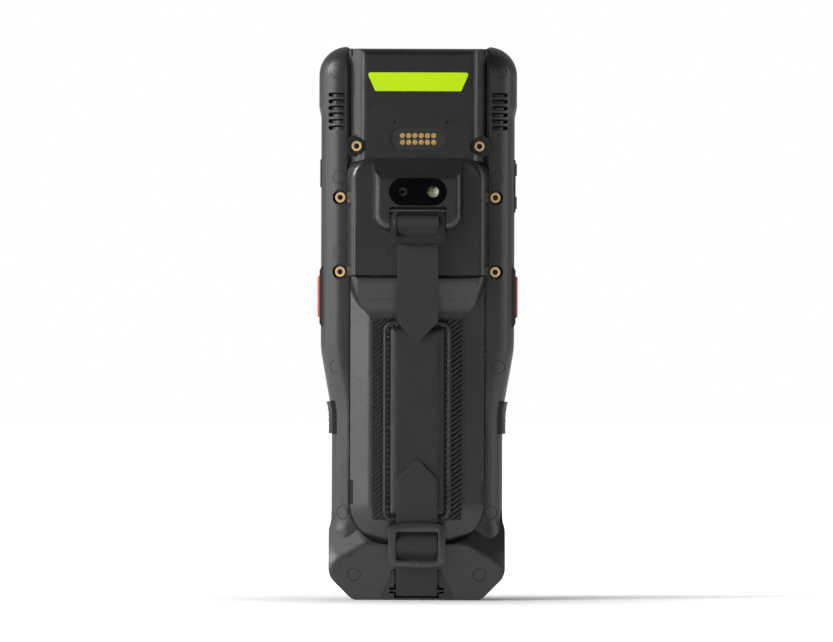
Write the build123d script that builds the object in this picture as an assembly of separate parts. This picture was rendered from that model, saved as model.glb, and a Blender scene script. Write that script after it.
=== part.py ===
from build123d import *
import os
from math import atan2, cos, degrees, hypot, radians, sin

os.makedirs("parts", exist_ok=True)

# Portable barcode data terminal standing on its foot, in millimetres. +Z runs up its length,
# -Y is its back with the hand strap, +Y its screen and keypad, +X its right seen from the back.

# Body outline seen along Y: half width, height and rounding of each corner, from foot to head.
HEIGHT = 201.8
SIDE_CORNERS = [
    (23.4, 0.0, 4.0),
    (32.2, 8.7, 7.0),
    (32.15, 26.0, 9.0),
    (31.2, 28.9, 9.0),
    (31.15, 68.0, 25.0),
    (35.3, 91.5, 30.0),
    (35.3, 176.0, 10.0),
    (36.1, 179.5, 10.0),
    (36.1, HEIGHT, 10.5),
]
SIDE = 35.3             # half width of the head between its corners
CAP_TOP = 200.9         # top edge between the two corner bumpers
CAP_HALF = 24.6

# Levels along Y, and wall thicknesses.
SHOULDER_Y = -6.0
VALLEY_Y = -4.5         # rear housing beside the raised back
PARTING_Y = 7.5
FRONT_Y = 16.2
BACK_ROUND = 8.0
FRONT_ROUND = 3.0
SKIN = 1.5              # soft overmould
WALL = 1.8              # rear housing
INNER = SKIN + WALL
FRONT_WALL = 2.4
FRONT_INSIDE_Y = FRONT_Y - FRONT_WALL
FAR = 60.0              # reach of a cutting block past the whole body

# Raised back: spine, mid block and camera hump.
VALLEY = 25.95          # half width of the opening in the overmould
VALLEY_GAP = 0.2
ROOT_Y, HOLLOW_ROOT_Y = -3.0, 0.0
SPINE_Y = -10.0
MID_Y, MID_HALF, MID_HIGH = -11.2, 23.7, 160.5
HUMP_Y = -15.2
HUMP_HALF, HUMP_LOW, HUMP_HIGH = 15.1, 135.7, 154.4
HUMP_HOLLOW_LOW = 144.6

# Battery cover and its bay.
COVER_HALF, COVER_LOW, COVER_HIGH = 24.4, 20.65, 117.9
COVER_GAP = 0.45
LIP = 1.0               # housing rim that shows round the cover
COVER_EDGE_Y, CREST_Y, RIB_FLOOR_Y = -6.2, -9.2, -8.2
CREST_INSET = 7.4       # from the cover's edge in to the crest
RIB_FLOOR_HALF, RIB_FLOOR_LOW, RIB_FLOOR_HIGH = 16.2, 29.3, 102.6
COVER_UNDER_Y = -4.2
COVER_INSIDE_Y = -6.9
COVER_TOP_ROUND = 0.8
LEDGE_Y = -3.3
BAY_FLOOR_Y, FLOOR_WALL = 1.6, 1.5
BAY_HALF, BAY_LOW, BAY_HIGH = 22.2, 29.0, 114.3
CASE_HALF, CASE_LOW, CASE_HIGH, CASE_Y = 21.6, 31.0, 112.0, 1.0
HOOK_X = (12.0, 18.0)
LUG_Z = (62.0, 71.0)

# Hand strap, with the places of its pins and bars as (Y, Z).
STRAP_AXIS = (-13.4, 142.0)
PIN_R, PIN_HALF = 0.5, 12.6
SLEEVE_R = 0.9
RUNNING_GAP = 0.05
STRAP_W, STRAP_T = 15.0, 1.2
RING_HALF, RING_WINDOW_HALF, RING_T = 9.95, 7.7, 1.6
RING_TILT = 10.5
UPPER_BAR = (-13.9, 138.0)
LOWER_BAR = (-14.6, 19.9)
BAR_R = 0.9
WRAP_R = BAR_R + STRAP_T / 2 + 0.1
PAD_W, PAD_LOW, PAD_HIGH, PAD_CORNER = 25.0, 28.5, 102.0, 4.0
PAD_IN_Y, PAD_OUT_Y = -13.4, -15.75
STRAP_Y = -16.4         # middle of the webbing where it lies on the pad
ANCHOR = (-5.8, 3.6)
ANCHOR_R, ANCHOR_HALF = 1.0, 9.7
RECESS_HALF, RECESS_TOP = 10.35, 143.3
FOOT_Y = -9.6
POCKET_Y = 0.6          # depth of the strap's pocket in the foot
LUG_X, LUG_Y = 8.2, -7.4

# Fastenings: centres as (X, Z) on the right side, mirrored to the left.
PLUGS = [(29.8, 192.7), (28.5, 154.1), (28.5, 127.0), (29.5, 85.0), (26.9, 31.9), (22.9, 9.3)]
PLUG_R, PLUG_GAP, PLUG_SUNK = 2.3, 0.16, 0.12
SCREW_R, SCREW_HEAD_R, SCREW_HEAD_Y, SCREW_TIP_Y = 1.0, 1.8, -1.5, 11.0
BOSS_R, BOSS_END_Y = 2.6, 11.3
SIDE_INSERTS = [(28.3, 146.7), (28.3, 119.6)]
TOP_INSERT = (22.4, 165.4)
INSERT_R, INSERT_HOLE_R, INSERT_LONG, INSERT_BOSS_R = 1.9, 1.0, 4.0, 3.0
INSERT_Y, TOP_INSERT_Y = -5.3, -7.0
INSERT_WELL_R, TOP_WELL_R, TOP_WELL_Y = 2.75, 3.35, -6.6
TOP_RIM_R, TOP_RIM_Y = 4.0, -7.9

# Windows, contacts, label and sound openings on the back.
CAMERA_Z, CAMERA_W, CAMERA_H = 148.7, 21.2, 10.1
CAMERA_GLASS_Y = (-15.1, -14.1)
LENS_X = 5.5
CONTACT_Z, CONTACT_W, CONTACT_H = 168.0, 20.3, 8.65
CONTACT_FACE_Y, CONTACT_TIP_Y, CONTACT_BASE_Y = -9.6, -9.85, -6.6
PIN_PITCH_X, PIN_PITCH_Z, CONTACT_R, CONTACT_DIMPLE_R = 2.28, 2.44, 0.92, 0.35
LABEL = [(18.6, 192.2), (15.65, 185.4)]
LABEL_Y = (-10.15, -9.85)
SLOT_X, SLOT_W, SLOT_H, SLOT_PITCH, SLOT_LOW, SLOT_COUNT = 29.7, 6.0, 1.6, 2.4, 172.1, 6
SLIT_H = 0.6            # slit in the hard housing along the top of each soft slot
MIC_HOLES = [(-8.6, 174.1), (10.7, 174.1)]

# Scan window in the top end.
SCAN_WINDOW_HALF, SCAN_WINDOW_Y, SCAN_WINDOW_T = 13.5, (-4.5, 4.9), 1.2

# Side keys and latches.
KEY_SEAT = 33.8         # half width at the rear housing's wall under the side keys
SIDE_KEY_Y = 3.2
STEM_HALF_Y = 1.1
SCAN_Z, SCAN_HALF, SCAN_OUT, SCAN_IN = 110.5, 7.6, 36.55, 34.4
FRAME_HALF, FRAME_OUT, FRAME_Y = 10.95, 35.8, (-1.0, 7.4)
POWER_Z, POWER_HALF = 155.5, 5.1
VOLUME_Z, VOLUME_HALF, VOLUME_BUMP = 151.0, 9.65, 6.0
FLAT_KEY_OUT, FLAT_KEY_IN, FLAT_KEY_HALF_Y = 35.7, 34.3, 2.5
SIDE_GAP = 0.15
LATCH_Z, LATCH_Y = (60.6, 72.3), (-3.0, 5.2)
LATCH_PROUD, LATCH_DEPTH = 1.15, 0.9
LATCH_STEM_X, LATCH_STEM_Y, LATCH_STEM_Z = (25.65, 29.2), (-2.4, 1.2), (63.6, 69.4)

# Front: glass, screen and keypad.
GLASS_W, GLASS_H, GLASS_Z, GLASS_CORNER = 61.6, 103.6, 141.5, 5.0
GLASS_Y = (14.8, 15.9)
EARPIECE_Z = 196.9
SCREEN_W, SCREEN_H, SCREEN_BACK_Y = 58.6, 99.0, 11.6
KEY_TOP_Y = 17.0
KEY_FLANGE_Y, KEY_TIP_Y = 12.8, 12.1
KEY_BOARD_Y, DOME_Y = (10.1, 11.1), 11.55
KEY_GAP = 0.2
KEY_PITCH = 17.0
BOARD_Y, BOARD_T = 4.6, 1.0

# Keys: centre X, centre Z, width, height and corner radius. Seen from the front, +X is left.
KEYS = {
    "key_up": (0, 82.2, 13.4, 6.4, 2.2),
    "key_left": (KEY_PITCH, 71.0, 11.0, 11.0, 5.3),
    "key_scan": (0, 71.0, 17.0, 12.4, 6.0),
    "key_right": (-KEY_PITCH, 71.0, 11.0, 11.0, 5.3),
    "key_back": (KEY_PITCH, 59.8, 13.4, 6.4, 2.2),
    "key_down": (0, 59.8, 13.4, 6.4, 2.2),
    "key_enter": (-KEY_PITCH, 59.8, 13.4, 6.4, 2.2),
}
DIGIT_ROWS = [
    (49.4, ("key_1", "key_2", "key_3")),
    (39.4, ("key_4", "key_5", "key_6")),
    (29.4, ("key_7", "key_8", "key_9")),
    (19.4, ("key_star", "key_0", "key_hash")),
]
for row_z, row_names in DIGIT_ROWS:
    for column, row_name in enumerate(row_names):
        KEYS[row_name] = ((1 - column) * KEY_PITCH, row_z, 13.4, 7.2, 2.2)


# ---------------------------------------------------------------- shared shapes

def mirrored(points):
    """Close a half outline given as (x, z, radius) rows by mirroring it in X."""
    return list(points) + [(-p[0],) + tuple(p[1:]) for p in reversed(points)]


def rounded(points):
    """Face in the XZ plane through (x, z, corner radius) rows."""
    radii = [p[2] for p in points]
    return make_face(FilletPolyline(*[(p[0], p[1]) for p in points], radius=radii, close=True))


def grown(face, amount):
    """Face with its outline moved out by the amount."""
    return offset(face, amount, kind=Kind.INTERSECTION) if amount else face


def body_face(inset):
    """Body outline, moved in by the inset."""
    return grown(rounded(mirrored(SIDE_CORNERS)), -inset)


def cover_face(growth):
    """Outline of the battery cover with its large lower corners, moved out by the growth."""
    corners = [(18.0, COVER_LOW, 14.0), (COVER_HALF, 31.5, 14.0), (COVER_HALF, COVER_HIGH, 0.4)]
    return grown(rounded(mirrored(corners)), growth)


def stadium(width, height, x, z):
    """Face with fully round ends."""
    return Pos(x, z) * SlotOverall(width, height)


def round_rect(width, height, x, z, radius):
    """Rectangle with round corners."""
    return Pos(x, z) * RectangleRounded(width, height, radius)


def block(face, y_low, y_high):
    """Straight block of an XZ face between two levels of Y."""
    return extrude(Plane.XZ.offset(-y_high) * face, amount=y_high - y_low)


def drafted(face, y_top, y_root, draft):
    """Block that stands up to y_top and widens by the draft angle down to y_root."""
    return extrude(Plane.XZ.offset(-y_top) * face, amount=y_top - y_root, taper=-draft)


def side_profile(points, half):
    """Block of a YZ face through (y, z, corner radius) rows, reaching out to both sides."""
    return extrude(Plane.YZ * rounded(points), amount=half, both=True)


def box(x_range, y_range, z_range):
    """Box between pairs of coordinates."""
    ranges = (x_range, y_range, z_range)
    size = [abs(pair[1] - pair[0]) for pair in ranges]
    return Pos(*[sum(pair) / 2 for pair in ranges]) * Box(*size)


def about(middle, half):
    """Range of a given half length about a middle."""
    return (middle - half, middle + half)


def rod_x(radius, half, place):
    """Round rod along X at a (y, z) place."""
    return Pos(0, *place) * Rot(0, 90, 0) * Cylinder(radius, 2 * half)


def rod_y(radius, place, y_low, y_high):
    """Round rod along Y at an (x, z) place."""
    return Pos(place[0], (y_low + y_high) / 2, place[1]) * Rot(90, 0, 0) * Cylinder(radius, y_high - y_low)


def loaf(inset):
    """Body volume behind the parting line, with a round back edge, moved in by the inset."""
    solid = block(body_face(inset), SHOULDER_Y + inset, PARTING_Y)
    return fillet(solid.faces().sort_by(Axis.Y)[0].edges(), BACK_ROUND - inset)


def both_sides(solid):
    """The solid and its mirror image across the YZ plane."""
    return [solid, solid.mirror(Plane.YZ)]


def both_places(places):
    """Every (x, z) place and its mirror image."""
    return [(side * x, z) for x, z in places for side in (1, -1)]


def joined(solids):
    """All solids as one shape."""
    total = solids[0]
    for solid in solids[1:]:
        total = total + solid
    return total


def cut(solid, tools):
    """The solid without the tools."""
    for tool in tools:
        solid = solid - tool
    return solid


def write(name, solids):
    """Write one sub-part, which may be several separate solids."""
    found = []
    for solid in solids if isinstance(solids, list) else [solids]:
        found.extend(solid.solids())
    export_step(found[0] if len(found) == 1 else Compound(children=found), f"parts/{name}.step")
    print(name, len(found), round(sum(solid.volume for solid in found)))


# ---------------------------------------------------------------- back forms

HEAD_CORNER = (21.6, 108.6)     # bend of the head's outline where it meets the sloping side
HEAD_DRAFT_X, HEAD_DRAFT_Z = 0.8, 0.7


def spine_form(inset):
    """Long raised spine up the middle of the head."""
    face = Pos(0, 170) * Rectangle(2 * (20.5 - inset), 140)
    solid = drafted(face, SPINE_Y + inset, HOLLOW_ROOT_Y if inset else ROOT_Y, 40)
    crest = solid.faces().sort_by(Axis.Y)[0].edges().filter_by(Axis.Z)
    return solid if inset else fillet(crest, 4.5)


def mid_form(inset):
    """Wider block under the camera, down to the battery cover."""
    half = MID_HALF - inset
    corners = mirrored([(half, 90, 3.0), (half, MID_HIGH - inset, 7.0)])
    solid = drafted(rounded(corners), MID_Y + inset, HOLLOW_ROOT_Y if inset else ROOT_Y, 25)
    return solid if inset else fillet(solid.faces().sort_by(Axis.Y)[0].edges(), 2.4)


def hump_form(inset):
    """Camera hump standing on the mid block, with a ramp at its upper end."""
    half = HUMP_HALF - inset
    corners = mirrored([(half, HUMP_LOW + inset, 4.6 - inset), (half, HUMP_HIGH + 16, 3.0)])
    solid = drafted(rounded(corners), HUMP_Y + inset, -8.0, 20)
    if not inset:
        solid = fillet(solid.faces().sort_by(Axis.Y)[0].edges(), 2.2)
    ramp_end = MID_HIGH - 0.6
    ramp = [(HUMP_Y + inset, 120, 0), (HUMP_Y + inset, HUMP_HIGH - inset, 4.0)]
    ramp += [(MID_Y + inset + 0.1, ramp_end, 0), (-8.0, ramp_end, 0), (-8.0, 120, 0)]
    return solid & side_profile(ramp, FAR)


def raised_form():
    """Spine, mid block and hump together, square above the battery cover and round at the crown."""
    half = VALLEY - VALLEY_GAP
    forms = spine_form(0) + mid_form(0) + hump_form(0)
    forms = forms & box((-half, half), (-FAR, ROOT_Y), (COVER_HIGH + COVER_GAP, CAP_TOP))
    crown = side_profile([(SPINE_Y, 0, 0), (FAR, 0, 0), (FAR, CAP_TOP, 0), (SPINE_Y, CAP_TOP, 2.5)], FAR)
    return forms & (crown + box((-FAR, FAR), (-FAR, 0), (0, 166)))


def raised_hollow():
    """Space inside the raised forms."""
    half = VALLEY - VALLEY_GAP - WALL
    low = COVER_HIGH + COVER_GAP + FLOOR_WALL
    hollow = spine_form(WALL) + mid_form(WALL)
    hollow = hollow & box((-half, half), (-FAR, HOLLOW_ROOT_Y), (low, CAP_TOP - INNER))
    hump = hump_form(WALL) & box((-FAR, FAR), (-FAR, -9.0), (HUMP_HOLLOW_LOW, FAR * 3))
    return hollow + hump


def foot_form():
    """Wedge that thickens the lower end below the battery cover."""
    corners = mirrored([(20.8, 1.0, 3.0), (28.0, 8.4, 4.0), (27.2, 12.6, 4.0), (17.4, 20.3, 3.0)])
    solid = drafted(rounded(corners), FOOT_Y, 0.0, 62)
    slope = Pos(0, -9.1, 20.2) * Rot(8.5, 0, 0) * Pos(0, -FAR / 2, 0) * Box(3 * FAR, FAR, 3 * FAR)
    solid = solid - slope
    solid = fillet(solid.faces().sort_by(Axis.Y)[0].edges(), 5.0)
    rim = block(body_face(0), FOOT_Y - 1.5, 0.0)
    rim = fillet(rim.faces().sort_by(Axis.Y)[0].edges(), 4.0)
    return (solid & rim) - block(cover_face(COVER_GAP), -FAR, 0)


def head_form():
    """Raised head of the battery cover, flush with the mid block and rolling down to the floor."""
    bend = (HEAD_CORNER[0] - HEAD_DRAFT_X, HEAD_CORNER[1] + HEAD_DRAFT_Z)
    corners = mirrored([(15.0, 96.0, 1.0), (16.1, RIB_FLOOR_HIGH + HEAD_DRAFT_Z, 4.0), (*bend, 12.0),
                        (23.4, COVER_HIGH, 0.5), (23.4, 130, 3.0)])
    solid = drafted(rounded(corners), MID_Y, COVER_EDGE_Y + 1, 25)
    solid = fillet(solid.faces().sort_by(Axis.Y)[0].edges(), 2.4)
    roll = [(MID_Y, COVER_HIGH, COVER_TOP_ROUND), (MID_Y, 115.0, 14.0), (-8.7, 106.5, 12.0),
            (-8.6, RIB_FLOOR_HIGH, 0), (5.0, RIB_FLOOR_HIGH, 0), (5.0, COVER_HIGH, 0)]
    return solid & side_profile(roll, FAR) & block(cover_face(0), -FAR, 0)


# ---------------------------------------------------------------- housing

def top_notch():
    """Cut that lowers the top edge between the two corner bumpers."""
    slope = 1.6
    outer = CAP_HALF + slope
    low = [(-outer, HEIGHT), (-CAP_HALF, CAP_TOP), (CAP_HALF, CAP_TOP), (outer, HEIGHT)]
    face = make_face(Polyline(*low, (outer, FAR * 4), (-outer, FAR * 4), close=True))
    return block(face, -FAR, FAR)


def key_slots(z, half):
    """Hole through the rear housing's side for a side key's stem, on the right."""
    return box((KEY_SEAT - 2.8, SIDE), about(SIDE_KEY_Y, STEM_HALF_Y + 0.2), about(z, half + 0.2))


def latch_tunnel():
    """Way of a battery latch through the right side of the housing."""
    opening = box((LATCH_STEM_X[1] - 1.5, FAR), (LATCH_Y[0] - SIDE_GAP, LATCH_Y[1] + SIDE_GAP),
                  (LATCH_Z[0] - SIDE_GAP, LATCH_Z[1] + SIDE_GAP))
    stem = box((24.5, 30.0), (LATCH_STEM_Y[0] - 0.2, LATCH_STEM_Y[1] + 0.2),
               (LATCH_STEM_Z[0] - 0.2, LATCH_STEM_Z[1] + 0.2))
    chamber = box((26.4, 27.85), (-1.0, 6.6), (59.4, 73.6))
    return opening + stem + chamber


def sound_slots(height):
    """Loudspeaker slots of the right shoulder, of a given height, level along their tops."""
    rows = [SLOT_LOW + SLOT_PITCH * n + (SLOT_H - height) / 2 for n in range(SLOT_COUNT)]
    return [block(stadium(SLOT_W - SLOT_H + height, height, SLOT_X, z), -FAR, -1.5) for z in rows]


def finger_notch():
    """Notch across the cover's right edge for a fingernail."""
    return block(round_rect(1.9, 9.0, 24.2, 39.3, 0.4), -FAR, -5.55)


def label_face():
    """Trapezoid of the label plate."""
    return rounded(mirrored([(x, z, 0.8) for x, z in LABEL]))


def housing_outside():
    """Rear housing as a full solid, with the rims that reach the surface."""
    half = VALLEY - VALLEY_GAP
    fill = box((-half, half), (VALLEY_Y, ROOT_Y), (COVER_HIGH + COVER_GAP, CAP_TOP))
    crown = box((0.1 - CAP_HALF, CAP_HALF - 0.1), (SHOULDER_Y, PARTING_Y), (198.0, CAP_TOP))
    rim = block(cover_face(COVER_GAP + LIP), SHOULDER_Y, -3.0) & loaf(0)
    wells = [rod_y(TOP_RIM_R, place, TOP_RIM_Y, ROOT_Y) for place in both_places([TOP_INSERT])]
    return joined([loaf(SKIN), raised_form(), fill, crown, rim] + wells)


def pocket_face():
    """Outline of the strap's pocket in the foot."""
    return rounded(mirrored([(13.0, 0.75, 0.3), (8.9, 11.0, 1.2)]))


def anchor_lug():
    """Lug beside the strap in the foot that holds the anchor pin's right end."""
    lug = block(pocket_face(), LUG_Y, POCKET_Y) & box((LUG_X, FAR), (-FAR, FAR), (0, FAR))
    reach = 2 * (ANCHOR_HALF + 0.2)
    seat = rod_x(ANCHOR_R + 0.08, reach / 2, ANCHOR)
    way_out = Pos(0, *ANCHOR) * Rot(3.15, 0, 0) * Pos(0, -FAR / 2, 0) * Box(reach, FAR, 2 * ANCHOR_R + 0.16)
    return lug - seat - way_out


def rear_housing(outside):
    """Hard rear housing with the battery bay, bosses and every opening in the back and sides."""
    tub = block(cover_face(COVER_GAP + FLOOR_WALL), MID_Y, BAY_FLOOR_Y + FLOOR_WALL) & outside
    bosses = [rod_y(BOSS_R, place, -4.4, PARTING_Y) & loaf(SKIN) for place in both_places(PLUGS)]
    seats = [rod_y(INSERT_BOSS_R, place, -4.4, INSERT_Y + INSERT_LONG + 0.4) & loaf(SKIN)
             for place in both_places(SIDE_INSERTS)]
    seats += [rod_y(INSERT_BOSS_R, place, -6.5, TOP_INSERT_Y + INSERT_LONG + 0.6)
              for place in both_places([TOP_INSERT])]
    posts = [rod_y(1.5, place, BAY_FLOOR_Y, BOARD_Y) for place in both_places([(20, 100), (20, 45)])]
    solid = cut(outside, [loaf(INNER), raised_hollow()])
    solid = joined([solid, tub] + bosses + seats + posts + both_sides(anchor_lug()))
    hooks = box((HOOK_X[0] - 0.4, HOOK_X[1] + 0.4), (-9.0, -5.9), (118.0, 120.3))
    lugs = box((22.9, 24.6), (LEDGE_Y - 1, 1.0), (LUG_Z[0] - 1.6, LUG_Z[1] + 0.4))
    tools = [block(cover_face(COVER_GAP), -FAR, LEDGE_Y),
             box((-BAY_HALF, BAY_HALF), (LEDGE_Y - 1, BAY_FLOOR_Y), (BAY_LOW, BAY_HIGH))]
    for one_side in (hooks, lugs, latch_tunnel(), key_slots(SCAN_Z, 3.6), finger_notch()):
        tools += both_sides(one_side)
    tools += [key_slots(POWER_Z, 2.5).mirror(Plane.YZ)]
    tools += [key_slots(VOLUME_Z + side * VOLUME_BUMP, 1.2) for side in (1, -1)]
    for slot in sound_slots(SLIT_H):
        tools += both_sides(slot)
    for place in both_places(PLUGS):
        tools += [rod_y(SCREW_HEAD_R + 0.3, place, -FAR, SCREW_HEAD_Y), rod_y(SCREW_R + 0.05, place, -FAR, FAR)]
    for place in both_places(SIDE_INSERTS):
        tools += [rod_y(INSERT_R, place, -FAR, INSERT_Y + INSERT_LONG)]
    for place in both_places([TOP_INSERT]):
        tools += [rod_y(TOP_WELL_R, place, -FAR, TOP_WELL_Y)]
        tools += [rod_y(INSERT_R, place, -FAR, TOP_INSERT_Y + INSERT_LONG)]
    tools += [rod_y(0.4, place, -FAR, -7.5) for place in MIC_HOLES]
    tools += [block(stadium(CONTACT_W, CONTACT_H, 0, CONTACT_Z), -FAR, -6.0)]
    tools += [block(stadium(CAMERA_W, CAMERA_H, 0, CAMERA_Z), -FAR, CAMERA_GLASS_Y[1])]
    tools += [block(stadium(17.0, 6.5, 0, CAMERA_Z), -FAR, -12.0)]
    tools += [block(label_face(), -FAR, LABEL_Y[1])]
    tools += [box((-RECESS_HALF, RECESS_HALF), (-FAR, MID_Y), (130.0, RECESS_TOP))]
    tools += [rod_x(PIN_R, PIN_HALF, STRAP_AXIS)]
    tools += [box((-SCAN_WINDOW_HALF, SCAN_WINDOW_HALF), SCAN_WINDOW_Y, (CAP_TOP - SCAN_WINDOW_T, HEIGHT))]
    tools += [box((-12.0, 12.0), (-3.5, 3.9), (195.0, HEIGHT))]
    tools += [block(body_face(1.75) - body_face(2.35), PARTING_Y - 0.5, PARTING_Y)]
    tools += [box(about(x, 0.9), (0.0, BOARD_Y), (33.9, 37.1)) for x in (-6, -2, 2, 6)]
    return cut(solid, tools)


def bumper_frame(outside):
    """Soft overmould over the shoulders, sides, corners and foot."""
    head_window = box((-VALLEY, VALLEY), (-FAR, -2.5), (COVER_HIGH + COVER_GAP, FAR * 4))
    cap_window = box((-CAP_HALF, CAP_HALF), (-FAR, FAR), (190.0, FAR * 4))
    solid = (loaf(0) + foot_form()) - outside
    pocket = block(pocket_face(), -FAR, POCKET_Y)
    flare = extrude(Plane.XZ.offset(-LUG_Y) * pocket_face(), amount=4.0, taper=-35)
    frame_seat = box((KEY_SEAT - 1.5, FAR), (FRAME_Y[0] - 0.05, FRAME_Y[1] + 0.05),
                     about(SCAN_Z, FRAME_HALF + 0.05))
    latch_way = box((27.0, FAR), (LATCH_Y[0] - SIDE_GAP, LATCH_Y[1] + SIDE_GAP),
                    (LATCH_Z[0] - SIDE_GAP, LATCH_Z[1] + SIDE_GAP))
    flat_y = about(SIDE_KEY_Y, FLAT_KEY_HALF_Y + SIDE_GAP)
    tools = [head_window, cap_window, top_notch(), block(cover_face(COVER_GAP), -FAR, -3.0),
             pocket, flare]
    for one_side in [frame_seat, latch_way, finger_notch()] + sound_slots(SLOT_H):
        tools += both_sides(one_side)
    tools += [box((-FAR, 1 - KEY_SEAT), flat_y, about(POWER_Z, POWER_HALF + SIDE_GAP))]
    tools += [box((KEY_SEAT - 1, FAR), flat_y, about(VOLUME_Z, VOLUME_HALF + SIDE_GAP))]
    tools += [rod_y(PLUG_R + PLUG_GAP, place, -FAR, SCREW_HEAD_Y) for place in both_places(PLUGS)]
    tools += [rod_y(INSERT_WELL_R, place, -FAR, -2.0) for place in both_places(SIDE_INSERTS)]
    return cut(solid, tools)


def screw_plugs(outside):
    """Round plugs, just below the face of the overmould, over the screw heads."""
    skin = (loaf(0) + foot_form()) - outside
    sunk = skin & (Pos(0, PLUG_SUNK, 0) * skin)
    return [rod_y(PLUG_R, place, -FAR, SCREW_HEAD_Y - 1.5) & sunk for place in both_places(PLUGS)]


def housing_screws():
    """Screws from the back into the front housing."""
    screws = []
    for place in both_places(PLUGS):
        head = rod_y(SCREW_HEAD_R, place, SCREW_HEAD_Y - 1.4, SCREW_HEAD_Y)
        shank = rod_y(SCREW_R - 0.02, place, SCREW_HEAD_Y - 0.5, SCREW_TIP_Y)
        socket = rod_y(0.8, place, SCREW_HEAD_Y - 2.0, SCREW_HEAD_Y - 0.7)
        screws.append(head + shank - socket)
    return screws


def threaded_inserts():
    """Brass inserts for a holster or a grip, open to the back."""
    inserts = []
    rows = [(place, INSERT_Y) for place in both_places(SIDE_INSERTS)]
    rows += [(place, TOP_INSERT_Y) for place in both_places([TOP_INSERT])]
    for place, top in rows:
        sleeve = rod_y(INSERT_R - 0.02, place, top, top + INSERT_LONG)
        inserts.append(sleeve - rod_y(INSERT_HOLE_R, place, -FAR, FAR))
    return inserts


def front_housing():
    """Front housing with the screen recess, keypad holes and screw bosses."""
    solid = block(body_face(0), PARTING_Y, FRONT_Y)
    solid = fillet(solid.faces().sort_by(Axis.Y)[-1].edges(), FRONT_ROUND)
    solid = solid - block(body_face(FRONT_WALL), PARTING_Y - 1, FRONT_INSIDE_Y)
    inside = block(body_face(1.0), PARTING_Y, FRONT_INSIDE_Y)
    for x, z in both_places(PLUGS):
        rib = box((x, x + (8 if x > 0 else -8)), (PARTING_Y, BOSS_END_Y), about(z, 0.8)) & inside
        solid = solid + rod_y(2.4, (x, z), PARTING_Y, BOSS_END_Y) + rib
    posts = both_places([(KEY_PITCH / 2, 24.4), (KEY_PITCH / 2, 54.8)])
    solid = joined([solid] + [rod_y(1.0, place, KEY_BOARD_Y[1], FRONT_Y - 1) for place in posts])
    tools = [rod_y(SCREW_R, place, 0, SCREW_TIP_Y + 0.2) for place in both_places(PLUGS)]
    tools += [block(round_rect(GLASS_W + 0.4, GLASS_H + 0.4, 0, GLASS_Z, GLASS_CORNER + 0.2), GLASS_Y[0], FAR)]
    tools += [block(round_rect(SCREEN_W + 0.4, SCREEN_H + 0.4, 0, GLASS_Z, 2.0), 13.0, FAR)]
    for x, z, width, height, radius in KEYS.values():
        hole = round_rect(width + 2 * KEY_GAP, height + 2 * KEY_GAP, x, z, radius + KEY_GAP)
        tools.append(block(hole, 13.0, FAR))
    tools += [block(stadium(12.2, 1.8, 0, EARPIECE_Z), 15.2, FAR), block(stadium(8.0, 1.0, 0, EARPIECE_Z), 12.0, FAR)]
    tools += [top_notch()]
    return cut(solid, tools)


def housing_seal():
    """Gasket in the groove of the parting line."""
    return block(body_face(1.8) - body_face(2.3), PARTING_Y - 0.5, PARTING_Y)


# ---------------------------------------------------------------- front pieces

def touch_glass():
    """Cover glass of the touch screen."""
    solid = block(round_rect(GLASS_W, GLASS_H, 0, GLASS_Z, GLASS_CORNER), *GLASS_Y)
    return chamfer(solid.faces().sort_by(Axis.Y)[-1].edges(), 0.3)


def display_module():
    """Display bonded behind the glass."""
    panel = block(round_rect(SCREEN_W, SCREEN_H, 0, GLASS_Z, 1.8), SCREEN_BACK_Y, GLASS_Y[0])
    return panel


def earpiece_mesh():
    """Perforated strip over the earpiece."""
    strip = block(stadium(12.0, 1.6, 0, EARPIECE_Z), 15.2, 15.9)
    holes = [rod_y(0.3, (n * 1.1, EARPIECE_Z), 0, FAR) for n in range(-4, 5)]
    return cut(strip, holes)


def keypad_key(x, z, width, height, radius):
    """One key: cap, retaining flange and plunger."""
    cap = block(round_rect(width, height, x, z, radius), FRONT_INSIDE_Y - 0.3, KEY_TOP_Y)
    cap = fillet(cap.faces().sort_by(Axis.Y)[-1].edges(), 0.5)
    rim = round_rect(width + 1.2, height + 1.2, x, z, radius + 0.6)
    flange = block(rim, KEY_FLANGE_Y, FRONT_INSIDE_Y - 0.2)
    return cap + flange + rod_y(1.5, (x, z), KEY_TIP_Y, KEY_FLANGE_Y + 0.2)


def key_board():
    """Keypad board with a metal dome under every key."""
    board = block(round_rect(47.6, 74.5, 0, 50.75, 2.0), *KEY_BOARD_Y)
    domes = [rod_y(2.2, (key[0], key[1]), KEY_BOARD_Y[1], DOME_Y) for key in KEYS.values()]
    return joined([board] + domes)


# ---------------------------------------------------------------- electronics

def main_board():
    """Main circuit board on its posts behind the battery bay."""
    return block(round_rect(48.0, 164.0, 0, 96.0, 2.0), BOARD_Y, BOARD_Y + BOARD_T)


def shield_cans():
    """Sheet metal cans over the processor and radio."""
    top = BOARD_Y + BOARD_T
    return [box((-20, -2), (top, top + 1.6), (96, 124)), box((2, 20), (top, top + 1.6), (128, 150)),
            box((-17, 17), (BOARD_Y - 1.4, BOARD_Y), (123, 140))]


def scan_engine():
    """Barcode imager that looks out of the top end."""
    body = box((-11, 11), (-6.2, 4.2), (181, 196.4))
    return body - (Pos(-5, -1, 196) * Cylinder(3.4, 4)) - (Pos(5.5, -1, 196) * Cylinder(2.6, 3))


def scan_window():
    """Clear window in the top end in front of the barcode imager."""
    return box(about(0, SCAN_WINDOW_HALF - 0.05), (SCAN_WINDOW_Y[0] + 0.05, SCAN_WINDOW_Y[1] - 0.05),
               (CAP_TOP - SCAN_WINDOW_T, CAP_TOP - 0.05))


def camera_window():
    """Dark glass over the camera and flash."""
    return block(stadium(CAMERA_W - 0.2, CAMERA_H - 0.2, 0, CAMERA_Z), *CAMERA_GLASS_Y)


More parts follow.
